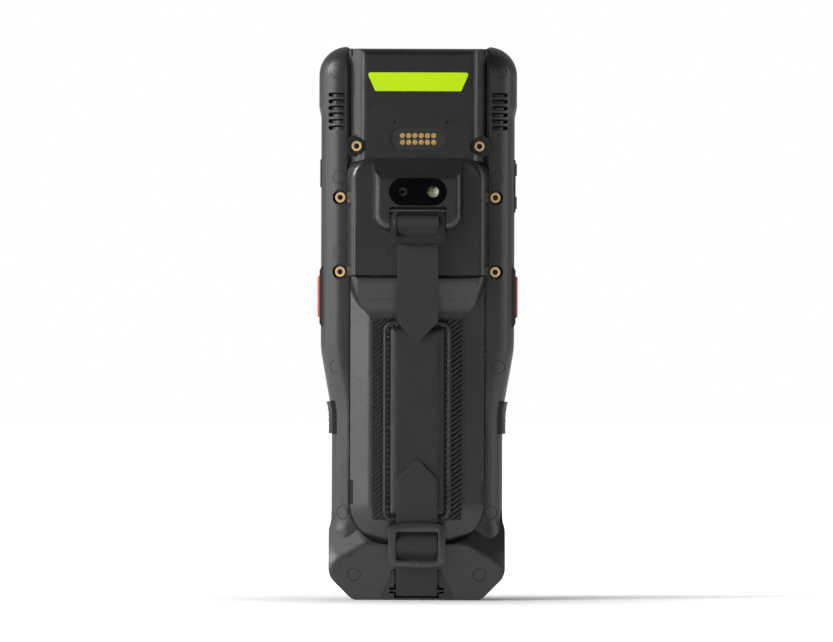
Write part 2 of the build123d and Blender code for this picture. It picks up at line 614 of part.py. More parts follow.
def camera_module():
    """Camera with its lens barrel behind the glass."""
    body = box((-LENS_X - 4.2, -LENS_X + 4.2), (-12.6, -7.5), about(CAMERA_Z + 0.3, 4.0))
    barrel = rod_y(2.6, (-LENS_X, CAMERA_Z), CAMERA_GLASS_Y[1] + 0.1, -12.4)
    return body + barrel - rod_y(1.1, (-LENS_X, CAMERA_Z), -FAR, -13.2)


def flash_lens():
    """Flash lamp with its lens behind the glass."""
    base = box((LENS_X - 2.9, LENS_X + 2.9), (-12.4, -9.0), about(CAMERA_Z, 2.7))
    return base + rod_y(2.3, (LENS_X, CAMERA_Z), CAMERA_GLASS_Y[1] + 0.1, -12.2)


def contact_places():
    """Centres of the twelve cradle contacts."""
    return [((n - 2.5) * PIN_PITCH_X, CONTACT_Z + side * PIN_PITCH_Z / 2) for n in range(6) for side in (1, -1)]


def connector_block():
    """Black carrier of the cradle contacts, set into the spine."""
    face = block(stadium(CONTACT_W - 0.1, CONTACT_H - 0.1, 0, CONTACT_Z), CONTACT_FACE_Y, CONTACT_BASE_Y)
    flange = block(stadium(23.4, 11.0, 0, CONTACT_Z), SPINE_Y + WALL + 0.05, CONTACT_BASE_Y)
    return cut(face + flange, [rod_y(CONTACT_R, place, -FAR, FAR) for place in contact_places()])


def connector_pins():
    """Round gold contacts for the charging cradle."""
    return [rod_y(CONTACT_R, place, CONTACT_TIP_Y, CONTACT_BASE_Y)
            - rod_y(CONTACT_DIMPLE_R, place, -FAR, CONTACT_TIP_Y + 0.4) for place in contact_places()]


def loudspeakers():
    """Two loudspeakers behind the shoulder slots."""
    return both_sides(box((25.5, 30.2), (-1.5, 3.4), (170.6, 185.6)))


def battery_contacts():
    """Spring blades through the bay floor that feed the main board."""
    return [box(about(x, 0.8), (CASE_Y + 0.05, BOARD_Y), (34, 37)) for x in (-6, -2, 2, 6)]


def side_switches():
    """Switch strips inside both side walls."""
    strip = box((31.15, 31.4), (0.6, 5.8), (102, 162))
    dome_x = (31.3, 31.65)
    right = [box(dome_x, about(SIDE_KEY_Y, 1.4), about(z, 1.4))
             for z in (SCAN_Z, VOLUME_Z - VOLUME_BUMP, VOLUME_Z + VOLUME_BUMP)]
    left = [box(dome_x, about(SIDE_KEY_Y, 1.4), about(z, 1.4)) for z in (SCAN_Z, POWER_Z)]
    return [joined([strip] + right), joined([strip] + left).mirror(Plane.YZ)]


def label_plate():
    """Coloured label plate near the top of the spine."""
    return block(label_face(), *LABEL_Y)


# ---------------------------------------------------------------- side keys and latches

def side_key_frames():
    """Dark surrounds of the two side scan keys, standing a little proud."""
    low, high = about(SCAN_Z, FRAME_HALF)
    bevel = 1.35
    shoulder = FRAME_OUT - 0.7
    face = make_face(Polyline((32, low), (shoulder, low), (FRAME_OUT, low + bevel), (FRAME_OUT, high - bevel),
                              (shoulder, high), (32, high), close=True))
    window = box((30, FAR), about(SIDE_KEY_Y, 3.0 + SIDE_GAP), about(SCAN_Z, SCAN_HALF + SIDE_GAP))
    return both_sides(block(face, *FRAME_Y) - loaf(SKIN) - window)


def scan_key():
    """Red scan key of the right side."""
    cap = box((SCAN_IN, SCAN_OUT), about(SIDE_KEY_Y, 3.0), about(SCAN_Z, SCAN_HALF))
    cap = fillet(cap.faces().sort_by(Axis.X)[-1].edges(), 0.8)
    return cap + box((KEY_SEAT - 1.6, SCAN_IN + 0.1), about(SIDE_KEY_Y, STEM_HALF_Y), about(SCAN_Z, 3.6))


def power_key():
    """Flat key of the left side."""
    cap = box((FLAT_KEY_IN, FLAT_KEY_OUT), about(SIDE_KEY_Y, FLAT_KEY_HALF_Y), about(POWER_Z, POWER_HALF))
    cap = fillet(cap.faces().sort_by(Axis.X)[-1].edges(), 0.35)
    stem = box((KEY_SEAT - 1.75, FLAT_KEY_IN + 0.1), about(SIDE_KEY_Y, STEM_HALF_Y), about(POWER_Z, 2.5))
    return (cap + stem).mirror(Plane.YZ)


def volume_key():
    """Rocker of the right side with a bump at each end."""
    key = box((FLAT_KEY_IN, FLAT_KEY_OUT), about(SIDE_KEY_Y, FLAT_KEY_HALF_Y), about(VOLUME_Z, VOLUME_HALF))
    key = fillet(key.faces().sort_by(Axis.X)[-1].edges(), 0.35)
    for side in (1, -1):
        z = VOLUME_Z + side * VOLUME_BUMP
        bump = box((FLAT_KEY_OUT - 0.5, FLAT_KEY_OUT + 0.45), about(SIDE_KEY_Y, 1.7), about(z, 2.3))
        bump = fillet(bump.faces().sort_by(Axis.X)[-1].edges(), 0.4)
        stem = box((KEY_SEAT - 1.7, FLAT_KEY_IN + 0.1), about(SIDE_KEY_Y, STEM_HALF_Y), about(z, 1.2))
        key = key + bump + stem
    return key


def cover_latch():
    """Ribbed push latch of the right side, with its bolt and retaining plate."""
    cap = (loaf(-LATCH_PROUD) - loaf(LATCH_DEPTH)) & box((20, FAR), LATCH_Y, LATCH_Z)
    rim = loaf(-LATCH_PROUD) - loaf(0.55 - LATCH_PROUD)
    step = (LATCH_Z[1] - LATCH_Z[0]) / 6
    for n in range(1, 6):
        cap = cap - (rim & box((20, FAR), (0.6, FAR), about(LATCH_Z[0] + n * step, 0.42)))
    stem = box(LATCH_STEM_X, LATCH_STEM_Y, LATCH_STEM_Z)
    plate = box((27.25, 27.75), (-0.6, 6.0), (59.8, 73.1))
    return cap + stem + plate


# ---------------------------------------------------------------- battery

def battery_cover():
    """Battery cover: rim, sloping sides, sunk floor and the raised head with its two hooks."""
    rim = block(cover_face(0), COVER_EDGE_Y, COVER_UNDER_Y)
    draft = degrees(atan2(CREST_INSET, COVER_EDGE_Y - CREST_Y))
    ridge = drafted(cover_face(-CREST_INSET), CREST_Y, COVER_EDGE_Y, draft)
    crest = ridge.faces().sort_by(Axis.Y)[0].edges()
    ridge = fillet(crest, 6.0) & block(cover_face(0), -FAR, 0)
    corners = mirrored([(RIB_FLOOR_HALF, RIB_FLOOR_LOW, 1.0), (RIB_FLOOR_HALF, RIB_FLOOR_HIGH - 0.9, 1.0),
                        (*HEAD_CORNER, 6.0), (HEAD_CORNER[0], 130.0, 0)])
    floor = block(rounded(corners), -FAR, RIB_FLOOR_Y)
    solid = (rim + ridge - floor) + head_form()
    lug = box((23.2, 24.2), (COVER_UNDER_Y - 1.0, 0.5), LUG_Z)
    hook = box(HOOK_X, (-8.6, -7.2), (115.5, 119.6))
    under = box(about(0, CASE_HALF + 0.05), (COVER_INSIDE_Y, FAR), (CASE_LOW - 0.1, CASE_HIGH + 0.1))
    hollow = box((-19, 19), (-9.6, COVER_INSIDE_Y + 0.5), (109.5, 116.2))
    solid = cut(solid, [under, hollow] + both_sides(finger_notch()))
    return joined([solid] + both_sides(lug) + both_sides(hook))


def battery_case():
    """Open tray of the battery pack, fixed under the cover."""
    case = box(about(0, CASE_HALF), (COVER_INSIDE_Y, CASE_Y), (CASE_LOW, CASE_HIGH))
    case = fillet(case.edges().filter_by(Axis.Y), 2.0)
    return case - box(about(0, CASE_HALF - 1.0), (-FAR, CASE_Y - 0.9), (CASE_LOW + 1, CASE_HIGH - 1))


def battery_cells():
    """Flat cell and its protection board inside the tray."""
    half = CASE_HALF - 1.3
    cell = box(about(0, half), (-6.6, 0.0), (38.5, CASE_HIGH - 1.3))
    return [fillet(cell.edges().filter_by(Axis.Z), 2.0), box(about(0, half), (-3.0, -1.8), (32.4, 38.0))]


def battery_seal():
    """Gasket under the cover's rim."""
    return block(cover_face(-1.6) - cover_face(-2.1), COVER_UNDER_Y, LEDGE_Y - 0.1)


# ---------------------------------------------------------------- hand strap

def ribbon(points, thickness, width):
    """Flat band of constant thickness whose middle line runs through (y, z) points."""
    left, right = [], []
    for index, (y, z) in enumerate(points):
        normals = []
        for start, end in ((index - 1, index), (index, index + 1)):
            if start >= 0 and end < len(points):
                dy, dz = points[end][0] - points[start][0], points[end][1] - points[start][1]
                normals.append((-dz / hypot(dy, dz), dy / hypot(dy, dz)))
        first, last = normals[0], normals[-1]
        reach = thickness / 2 / (1 + first[0] * last[0] + first[1] * last[1])
        shift = (reach * (first[0] + last[0]), reach * (first[1] + last[1]))
        left.append((y + shift[0], z + shift[1]))
        right.append((y - shift[0], z - shift[1]))
    face = make_face(Polyline(*left, *reversed(right), close=True))
    return extrude(Plane.YZ * face, amount=width / 2, both=True)


def bend(place, radius, start, end, steps):
    """Points of an arc about a (y, z) place, its angles in degrees from +Y towards +Z."""
    angles = [radians(start + (end - start) * n / steps) for n in range(steps + 1)]
    return [(place[0] + radius * cos(a), place[1] + radius * sin(a)) for a in angles]


def strap_webbing():
    """Upper and lower webbing, each with a tab on the pad and a loop round its bar or pin."""
    upper = [(STRAP_Y, 94.6), (STRAP_Y, 101.5), (-15.5, 110.0), (-14.5, 125.5), (-14.05, 129.0)]
    upper += [(-13.55, 132.6)]
    upper += bend(UPPER_BAR, WRAP_R, 200, -5, 8)
    upper += [(-12.05, 134.2), (-12.05, 127.5)]
    lower = [(STRAP_Y, 50.8), (STRAP_Y, 38.6), (-14.6, 28.9), (-14.6, 24.7)]
    lower += bend(LOWER_BAR, WRAP_R, 160, 200, 2)
    lower += [(-14.6, 15.5), (-14.6, 12.4)]
    lower += bend(ANCHOR, ANCHOR_R + STRAP_T / 2 + 0.1, 218, 418, 8)
    lower += [(-9.0, 7.3), (-11.1, 10.0)]
    tab = rounded(mirrored([(STRAP_W / 2, 118.0, 0), (STRAP_W / 2, 101.0, 1.0), (0.8, 94.6, 0.7)]))
    upper_tab = block(tab, -FAR, 0)
    upper_band = ribbon(upper, STRAP_T, STRAP_W)
    lower_band = ribbon(lower, STRAP_T, STRAP_W)
    above = box((-FAR, FAR), (-FAR, 0), (110.0, 3 * FAR))
    tab = rounded(mirrored([(STRAP_W / 2, 40.0, 0), (STRAP_W / 2, 44.4, 1.0), (0.8, 50.8, 0.7)]))
    lower_tab = block(tab, -FAR, 0)
    below = box((-FAR, FAR), (-FAR, 0), (-FAR, 40.0))
    return [upper_band & (upper_tab + above), lower_band & (lower_tab + below)]


def strap_pad():
    """Padded leather panel between the two webbing tabs, thin at its ends."""
    profile = [(PAD_IN_Y, PAD_LOW, 0.15), (PAD_IN_Y, PAD_HIGH, 0.8), (-15.15, PAD_HIGH, 0.5)]
    profile += [(PAD_OUT_Y, 96.0, 3.0), (PAD_OUT_Y, 38.6, 3.0), (-13.9, PAD_LOW, 0.15)]
    plan = round_rect(PAD_W, PAD_HIGH - PAD_LOW, 0, (PAD_HIGH + PAD_LOW) / 2, PAD_CORNER)
    return side_profile(profile, PAD_W) & block(plan, -FAR, 0)


def frame_plate(half, low, high, bow):
    """Buckle outline with bowed ends, as (x, z)."""
    top = ThreePointArc((half, high), (0, high + bow), (-half, high))
    bottom = ThreePointArc((-half, low), (0, low - bow), (half, low))
    face = make_face([top, Line((-half, high), (-half, low)), bottom, Line((half, low), (half, high))])
    return fillet(face.vertices(), 3.0)


def strap_buckle_upper():
    """Ring that turns on the pin in the camera hump and carries the upper webbing."""
    outline = frame_plate(RING_HALF, -11.9, -0.4, 0.6)
    window = round_rect(2 * RING_WINDOW_HALF, 9.1, 0, -5.25, 0.6)
    plate = block(outline - window, -RING_T / 2, RING_T / 2)
    plate = plate - rod_x(SLEEVE_R, FAR, (0, 0))
    plate = Pos(0, *STRAP_AXIS) * Rot(-RING_TILT, 0, 0) * plate
    ring = plate + rod_x(SLEEVE_R, RING_HALF, STRAP_AXIS) + rod_x(BAR_R, RING_WINDOW_HALF + 1.2, UPPER_BAR)
    return ring - rod_x(PIN_R + RUNNING_GAP, FAR, STRAP_AXIS)


def strap_buckle_lower():
    """Frame buckle between the pad and the anchor."""
    outline = frame_plate(10.4, 12.9, 27.6, 0.7)
    window = round_rect(2 * RING_WINDOW_HALF, 10.5, 0, 19.85, 1.0)
    plate = block(outline - window, -16.9, -15.3)
    return plate + rod_x(BAR_R, RING_WINDOW_HALF + 1.4, LOWER_BAR)


def strap_pin():
    """Steel pin across the camera hump on which the strap swings."""
    return rod_x(PIN_R, PIN_HALF, STRAP_AXIS)


def anchor_pin():
    """Steel pin in the lower loop that clips into the two lugs of the foot."""
    return rod_x(ANCHOR_R, ANCHOR_HALF, ANCHOR)


# ---------------------------------------------------------------- all sub-parts

outside_form = housing_outside()
write("rear_housing", rear_housing(outside_form))
write("bumper_frame", bumper_frame(outside_form))
write("screw_plugs", screw_plugs(outside_form))

for make in (front_housing, housing_seal, housing_screws, threaded_inserts, touch_glass, display_module,
             earpiece_mesh, key_board, main_board, shield_cans, scan_engine, scan_window, camera_window,
             camera_module, flash_lens, connector_block, connector_pins, loudspeakers, battery_contacts,
             side_switches, label_plate, side_key_frames, power_key, volume_key, battery_cover, battery_case,
             battery_cells, battery_seal, strap_webbing, strap_pad, strap_buckle_upper, strap_buckle_lower,
             strap_pin, anchor_pin):
    write(make.__name__, make())

for make in (scan_key, cover_latch):
    right, left = both_sides(make())
    write(make.__name__ + "_right", right)
    write(make.__name__ + "_left", left)

for key_name, key_sizes in KEYS.items():
    write(key_name, keypad_key(*key_sizes))
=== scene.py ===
import math

import bpy
from mathutils import Matrix, Vector


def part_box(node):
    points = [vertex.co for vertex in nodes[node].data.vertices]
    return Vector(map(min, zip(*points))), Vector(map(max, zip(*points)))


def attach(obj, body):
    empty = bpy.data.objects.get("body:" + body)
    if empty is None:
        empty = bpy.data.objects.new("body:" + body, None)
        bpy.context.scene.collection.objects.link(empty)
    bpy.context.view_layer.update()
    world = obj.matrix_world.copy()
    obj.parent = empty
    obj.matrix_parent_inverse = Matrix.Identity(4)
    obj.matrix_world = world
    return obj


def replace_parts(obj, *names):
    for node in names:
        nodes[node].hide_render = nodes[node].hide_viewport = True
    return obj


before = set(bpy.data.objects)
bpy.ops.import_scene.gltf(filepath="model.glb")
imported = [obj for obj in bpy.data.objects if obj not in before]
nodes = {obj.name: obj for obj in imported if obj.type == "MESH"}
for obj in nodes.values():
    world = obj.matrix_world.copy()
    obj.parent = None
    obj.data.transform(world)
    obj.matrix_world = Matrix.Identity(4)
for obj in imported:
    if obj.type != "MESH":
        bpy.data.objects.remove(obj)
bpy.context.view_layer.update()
bpy.ops.object.select_all(action="DESELECT")

MM = 0.001

# ------------------------------------------------------------------ camera
# A long lens aimed level at the middle of the back and rolled by a fifth of a degree. Its focal
# length makes one pixel of the render MM_PER_PIXEL wide at the origin.

IMAGE_WIDTH = 833
MM_PER_PIXEL = 0.365
SENSOR_WIDTH = 36
CAMERA_DISTANCE = 4.0
CAMERA_X = -0.35 * MM
CAMERA_Z = 101.7 * MM
CAMERA_ROLL = math.radians(0.19)

bpy.ops.object.camera_add(location=(CAMERA_X, -CAMERA_DISTANCE, CAMERA_Z))
camera = bpy.context.object
level = Matrix.Rotation(math.radians(90), 3, "X")
camera.rotation_euler = (level @ Matrix.Rotation(CAMERA_ROLL, 3, "Z")).to_euler()
camera.data.sensor_width = SENSOR_WIDTH
camera.data.lens = SENSOR_WIDTH * CAMERA_DISTANCE / (IMAGE_WIDTH * MM_PER_PIXEL * MM)
bpy.context.scene.camera = camera

# ------------------------------------------------------------------ studio
# A white table that runs out to a white surround, with a key lamp and a large soft lamp on the
# left, a weaker one on the right, and a tall narrow strip on each side of the camera for the long
# rounded edges.

FLOOR_SIZE = 14.0
FLOOR_COLOUR = (0.88, 0.88, 0.88, 1)
FLOOR_ROUGHNESS = 0.8
# For the camera, the floor's glow changes from the first strength to the second between two
# distances from the middle; in reflections it is even.
FLOOR_GLOW = (0.0, 1.0)
FLOOR_FADE = (0.03, 0.25)
FLOOR_MIRRORED = 0.6
# The surround's light on the object, behind the camera and beyond the object, and half the width
# of the change between them.
ROOM_LIGHT, SURROUND_LIGHT = 0.02, 0.5
ROOM_EDGE = 0.35
WHITE = (1, 1, 1, 1)
LAMP_AIM = Vector((0, 0, 0.1))
LAMP_DISTANCE = 1.3
# Bearing from the back's own direction, height above it, both in degrees, then width, height and
# power.
LAMPS = {
    "key_left": (-64, 24, 0.28, 0.45, 17.0),
    "side_left": (-89, 6, 0.7, 1.4, 6.6),
    "strip_left": (-42, 8, 0.09, 1.3, 6.2),
    "strip_right": (58, 8, 0.05, 1.2, 1.6),
    "side_right": (76, 2, 0.16, 1.2, 3.6),
}


def connect(tree, value, socket):
    """Wire an output to an input, or write a plain value into it."""
    if isinstance(value, bpy.types.NodeSocket):
        tree.links.new(value, socket)
    else:
        socket.default_value = value


def math_node(tree, operation, *values):
    """Work out one number from outputs or plain numbers."""
    node = tree.nodes.new("ShaderNodeMath")
    node.operation = operation
    for socket, value in zip(node.inputs, values):
        connect(tree, value, socket)
    return node.outputs[0]


def vector_node(tree, operation, *values):
    """Work out a vector, a length or a distance from outputs or plain vectors."""
    node = tree.nodes.new("ShaderNodeVectorMath")
    node.operation = operation
    for socket, value in zip(node.inputs, values):
        connect(tree, value, socket)
    return node.outputs["Value" if operation in ("LENGTH", "DISTANCE") else "Vector"]


def map_range(tree, value, source=(0.0, 1.0), target=(0.0, 1.0), blend="LINEAR"):
    """Bring a value from one range to another; each limit is an output or a number."""
    node = tree.nodes.new("ShaderNodeMapRange")
    node.interpolation_type = blend
    connect(tree, value, node.inputs["Value"])
    for label, limit in zip(("From Min", "From Max", "To Min", "To Max"), (*source, *target)):
        connect(tree, limit, node.inputs[label])
    return node.outputs["Result"]


def split_axes(tree, vector):
    """The outputs X, Y and Z of a vector."""
    node = tree.nodes.new("ShaderNodeSeparateXYZ")
    tree.links.new(vector, node.inputs["Vector"])
    return node.outputs


def object_place(tree):
    """The shaded point in metres, in the object's own axes."""
    return tree.nodes.new("ShaderNodeTexCoord").outputs["Object"]


def start_material(name):
    """A material with its node tree and shader, ready for its own colours."""
    material = bpy.data.materials.new(name)
    material.use_nodes = True
    return material, material.node_tree, material.node_tree.nodes["Principled BSDF"]


bpy.context.scene.view_settings.view_transform = "Standard"

world = bpy.data.worlds.new("white_surround")
bpy.context.scene.world = world
world.use_nodes = True
tree = world.node_tree
tree.nodes.clear()
rays = tree.nodes.new("ShaderNodeLightPath").outputs
seen = math_node(tree, "MAXIMUM", rays["Is Camera Ray"], rays["Is Transmission Ray"])
heading = tree.nodes.new("ShaderNodeTexCoord").outputs["Generated"]
room = map_range(tree, split_axes(tree, heading)["Y"], (-ROOM_EDGE, ROOM_EDGE),
                 (ROOM_LIGHT, SURROUND_LIGHT), "SMOOTHSTEP")
surround = tree.nodes.new("ShaderNodeBackground")
surround.inputs["Color"].default_value = WHITE
connect(tree, map_range(tree, seen, target=(room, 1.0)), surround.inputs["Strength"])
output = tree.nodes.new("ShaderNodeOutputWorld")
tree.links.new(surround.outputs[0], output.inputs["Surface"])

for lamp_name, (bearing, rise, width, height, power) in LAMPS.items():
    turn, lift = math.radians(bearing), math.radians(rise)
    toward = Vector((math.sin(turn) * math.cos(lift), -math.cos(turn) * math.cos(lift),
                     math.sin(lift)))
    place = LAMP_AIM + LAMP_DISTANCE * toward
    bpy.ops.object.light_add(type="AREA", location=place)
    lamp = bpy.context.object
    lamp.name = lamp_name
    lamp.data.shape = "RECTANGLE"
    lamp.data.size = width
    lamp.data.size_y = height
    lamp.data.energy = power
    lamp.visible_camera = False
    lamp.rotation_euler = (LAMP_AIM - place).to_track_quat("-Z", "Y").to_euler()

bpy.ops.mesh.primitive_plane_add(size=FLOOR_SIZE, location=(0, 0, 0))
floor = bpy.context.object
floor.name = "floor"
floor_white, tree, shader = start_material("floor_white")
floor.data.materials.append(floor_white)
shader.inputs["Base Color"].default_value = FLOOR_COLOUR
shader.inputs["Roughness"].default_value = FLOOR_ROUGHNESS
shader.inputs["Emission Color"].default_value = WHITE
rays = tree.nodes.new("ShaderNodeLightPath").outputs
reach = vector_node(tree, "LENGTH", object_place(tree))
fade = map_range(tree, reach, FLOOR_FADE, FLOOR_GLOW)
glow = math_node(tree, "MULTIPLY", rays["Is Camera Ray"], fade)
glow = math_node(tree, "MULTIPLY_ADD", rays["Is Glossy Ray"], FLOOR_MIRRORED, glow)
tree.links.new(glow, shader.inputs["Emission Strength"])

# ------------------------------------------------------------------ rear housing
# Hard black shell with the spine, camera hump and battery bay, injection moulded in glass-filled
# plastic with a fine sparked grain.

PITS_PER_METRE, PIT_BLUR = 2600.0, 0.6
CLOUDS_PER_METRE, CLOUD_DETAIL = 55.0, 4.0
SCRATCH_TURN, SCRATCH_STRETCH, SCRATCH_DETAIL = (0.3, 0.5, 0.9), (900, 90, 700), 3.0
# A scratch starts to show at the first noise value and is whole at the second.
SCRATCH_SHARE = (0.62, 0.78)
SCUFFS = 0.5
# How much clouding dulls a moulded skin, and how much a scuff polishes it.
CLOUD_DULLING, SCUFF_POLISH = 0.10, 0.12
FINE_PITS, MID_PITS, COARSE_PITS = 0.01 * MM, 0.015 * MM, 0.02 * MM
# Two close colours per material: the clouding goes from the first to the second.
HOUSING_COLOURS = ((0.013, 0.013, 0.014), (0.018, 0.018, 0.019))


def start_group(name, inputs, outputs):
    """An empty node group with float inputs and the given outputs."""
    group = bpy.data.node_groups.new(name, "ShaderNodeTree")
    for label, default in inputs.items():
        socket = group.interface.new_socket(
            name=label, in_out="INPUT", socket_type="NodeSocketFloat")
        socket.default_value = default
    for label in outputs:
        group.interface.new_socket(name=label, in_out="OUTPUT", socket_type="NodeSocketFloat")
    group_in = group.nodes.new("NodeGroupInput").outputs
    return group, group_in, group.nodes.new("NodeGroupOutput").inputs


def place_group(tree, group, values):
    """The group in a material, with its own values; gives back its outputs."""
    node = tree.nodes.new("ShaderNodeGroup")
    node.node_tree = group
    for label, value in values.items():
        node.inputs[label].default_value = value
    return node.outputs


def noise(tree, place, scale, detail=2.0, roughness=0.5):
    """Noise from 0 to 1 at a place, with about scale features to the metre."""
    node = tree.nodes.new("ShaderNodeTexNoise")
    node.inputs["Detail"].default_value = detail
    node.inputs["Roughness"].default_value = roughness
    connect(tree, place, node.inputs["Vector"])
    connect(tree, scale, node.inputs["Scale"])
    return node.outputs[0]


def mapped(tree, place, **moves):
    """A place after a mapping node's Location, Rotation or Scale."""
    node = tree.nodes.new("ShaderNodeMapping")
    tree.links.new(place, node.inputs["Vector"])
    for label, value in moves.items():
        node.inputs[label].default_value = value
    return node.outputs["Vector"]


def mix_colours(tree, factor, first, second):
    """Blend two colours, each an output or red, green and blue, by a factor."""
    node = tree.nodes.new("ShaderNodeMix")
    node.data_type = "RGBA"
    tree.links.new(factor, node.inputs[0])
    for socket, colour in ((node.inputs[6], first), (node.inputs[7], second)):
        plain = not isinstance(colour, bpy.types.NodeSocket)
        connect(tree, (*colour, 1) if plain else colour, socket)
    return node.outputs[2]


def tint(tree, shader, factor, first, second):
    """Blend two colours into the shader's base colour."""
    tree.links.new(mix_colours(tree, factor, first, second), shader.inputs["Base Color"])


def spread_roughness(tree, shader, factor, low, high):
    """Send a 0 to 1 value to the shader's roughness as a range."""
    tree.links.new(map_range(tree, factor, target=(low, high)), shader.inputs["Roughness"])


def bump(tree, shader, height, depth):
    """Turn a height into the shader's normal, the depth in metres."""
    node = tree.nodes.new("ShaderNodeBump")
    node.inputs["Strength"].default_value = 1.0
    node.inputs["Distance"].default_value = depth
    tree.links.new(height, node.inputs["Height"])
    tree.links.new(node.outputs["Normal"], shader.inputs["Normal"])


def dress(node_names, material):
    """Give CAD nodes a material."""
    for name in node_names:
        mesh = nodes[name].data
        mesh.materials.clear()
        mesh.materials.append(material)


# Moulded grain: fine pits from the tool, slow clouding and a few handling scuffs.
grain, grain_in, grain_out = start_group(
    "moulded_grain", {"Pits per metre": PITS_PER_METRE, "Scuffs": SCUFFS},
    ["Height", "Cloud", "Scuff"])
place = object_place(grain)
pits = noise(grain, place, grain_in["Pits per metre"], roughness=PIT_BLUR)
grain.links.new(pits, grain_out["Height"])
grain.links.new(noise(grain, place, CLOUDS_PER_METRE, CLOUD_DETAIL), grain_out["Cloud"])
scratched = mapped(grain, place, Rotation=SCRATCH_TURN, Scale=SCRATCH_STRETCH)
worn = map_range(grain, noise(grain, scratched, 1.0, SCRATCH_DETAIL), SCRATCH_SHARE)
grain.links.new(math_node(grain, "MULTIPLY", worn, grain_in["Scuffs"]), grain_out["Scuff"])


def moulded(name, colours, roughness, pit_depth, pits_per_metre=PITS_PER_METRE, scuffs=SCUFFS,
            level=0.5):
    """Moulded plastic or rubber: two close colours, a roughness range and a pitted skin."""
    material, tree, shader = start_material(name)
    skin = place_group(tree, grain, {"Pits per metre": pits_per_metre, "Scuffs": scuffs})
    tint(tree, shader, skin["Cloud"], *colours)
    dull = math_node(tree, "MULTIPLY_ADD", skin["Cloud"], CLOUD_DULLING,
                     roughness - CLOUD_DULLING / 2)
    polish = math_node(tree, "MULTIPLY", skin["Scuff"], SCUFF_POLISH)
    tree.links.new(math_node(tree, "SUBTRACT", dull, polish), shader.inputs["Roughness"])
    shader.inputs["Specular IOR Level"].default_value = level
    bump(tree, shader, skin["Height"], pit_depth)
    return material


housing_black = moulded("housing_black", HOUSING_COLOURS, 0.27, FINE_PITS, scuffs=0.2)
dress(["rear_housing"], housing_black)

# ------------------------------------------------------------------ overmould
# Soft bumper moulded over the shoulders, sides, corners and foot, in a dull thermoplastic rubber,
# with its twelve plugs in the same rubber.

RUBBER_COLOURS = ((0.014, 0.014, 0.015), (0.019, 0.019, 0.020))

overmould_black = moulded("overmould_black", RUBBER_COLOURS, 0.38, COARSE_PITS,
                          pits_per_metre=2000.0, scuffs=0.6)
dress(["bumper_frame"], overmould_black)
plug_black = moulded("plug_black", RUBBER_COLOURS, 0.42, COARSE_PITS)
dress(["screw_plugs"], plug_black)

# ------------------------------------------------------------------ front housing and gasket
# Front shell round the screen and keypad, in the same black plastic, closed on a thin silicone
# gasket.

FRONT_COLOURS = ((0.014, 0.014, 0.015), (0.020, 0.020, 0.021))
GASKET_COLOURS = ((0.01, 0.01, 0.01), (0.014, 0.014, 0.014))

front_black = moulded("front_black", FRONT_COLOURS, 0.42, COARSE_PITS)
dress(["front_housing"], front_black)
gasket_black = moulded("gasket_black", GASKET_COLOURS, 0.6, FINE_PITS)
dress(["housing_seal", "battery_seal"], gasket_black)

# ------------------------------------------------------------------ metal fastenings
# Blackened steel screws and pins, and turned brass inserts. Their faces keep the brass colour, and
# their knurled sides, which are sunk in the housing, are painted near black as shade.

LINES_PER_METRE, LINE_STRETCH, LINE_DEPTH = 6000.0, (1.0, 0.12, 1.0), 0.006 * MM
STAINS_PER_METRE, STAIN_DETAIL = 420.0, 4.0
# What the cleanest and the most stained metal add to the middle roughness.
CLEAN_SHEEN, STAIN_DULLING = -0.08, 0.12
# Places of the inserts, as x on either side and z.
INSERT_PLACES = [(28.3 * MM, 146.7 * MM), (28.3 * MM, 119.6 * MM), (22.4 * MM, 165.4 * MM)]
INSERT_FACE_RADIUS, INSERT_EDGE = 1.82 * MM, 0.02 * MM
BRASS_COLOURS = ((0.90, 0.68, 0.34), (0.72, 0.48, 0.20))
# Near black painted on the knurled sides, as the shade they sit in, sunk in the housing.
KNURL_PAINTED_SHADE = (0.02, 0.015, 0.01)

turned, turned_in, turned_out = start_group(
    "turned_metal", {"Lines per metre": LINES_PER_METRE}, ["Height", "Tarnish"])
place = object_place(turned)
lines = noise(turned, mapped(turned, place, Scale=LINE_STRETCH), turned_in["Lines per metre"])
turned.links.new(lines, turned_out["Height"])
turned.links.new(noise(turned, place, STAINS_PER_METRE, STAIN_DETAIL), turned_out["Tarnish"])


def metal(name, clean, stained, roughness, metallic=1.0):
    """Machined metal: a clean and a stained colour and a roughness range."""
    material, tree, shader = start_material(name)
    marks = place_group(tree, turned, {})
    tint(tree, shader, marks["Tarnish"], clean, stained)
    spread_roughness(tree, shader, marks["Tarnish"], roughness + CLEAN_SHEEN,
                     roughness + STAIN_DULLING)
    shader.inputs["Metallic"].default_value = metallic
    bump(tree, shader, marks["Height"], LINE_DEPTH)
    return material


def reach_from(tree, place, x, z):
    """Distance of a place from (x, z), seen along Y."""
    flat = vector_node(tree, "MULTIPLY", place, (1, 0, 1))
    return vector_node(tree, "DISTANCE", flat, (x, 0, z))


insert_brass = metal("insert_brass", *BRASS_COLOURS, 0.34, metallic=0.6)
tree = insert_brass.node_tree
shader = tree.nodes["Principled BSDF"]
folded = vector_node(tree, "ABSOLUTE", object_place(tree))
reaches = [reach_from(tree, folded, x, z) for x, z in INSERT_PLACES]
nearest = reaches[0]
for reach in reaches[1:]:
    nearest = math_node(tree, "MINIMUM", nearest, reach)
# Painted shade: past each face's rim the inserts turn near black, for the sunk knurl's shade.
side = map_range(tree, nearest,
                 (INSERT_FACE_RADIUS - INSERT_EDGE, INSERT_FACE_RADIUS + INSERT_EDGE))
face_colour = shader.inputs["Base Color"].links[0].from_socket
tint(tree, shader, side, face_colour, KNURL_PAINTED_SHADE)
dress(["threaded_inserts"], insert_brass)

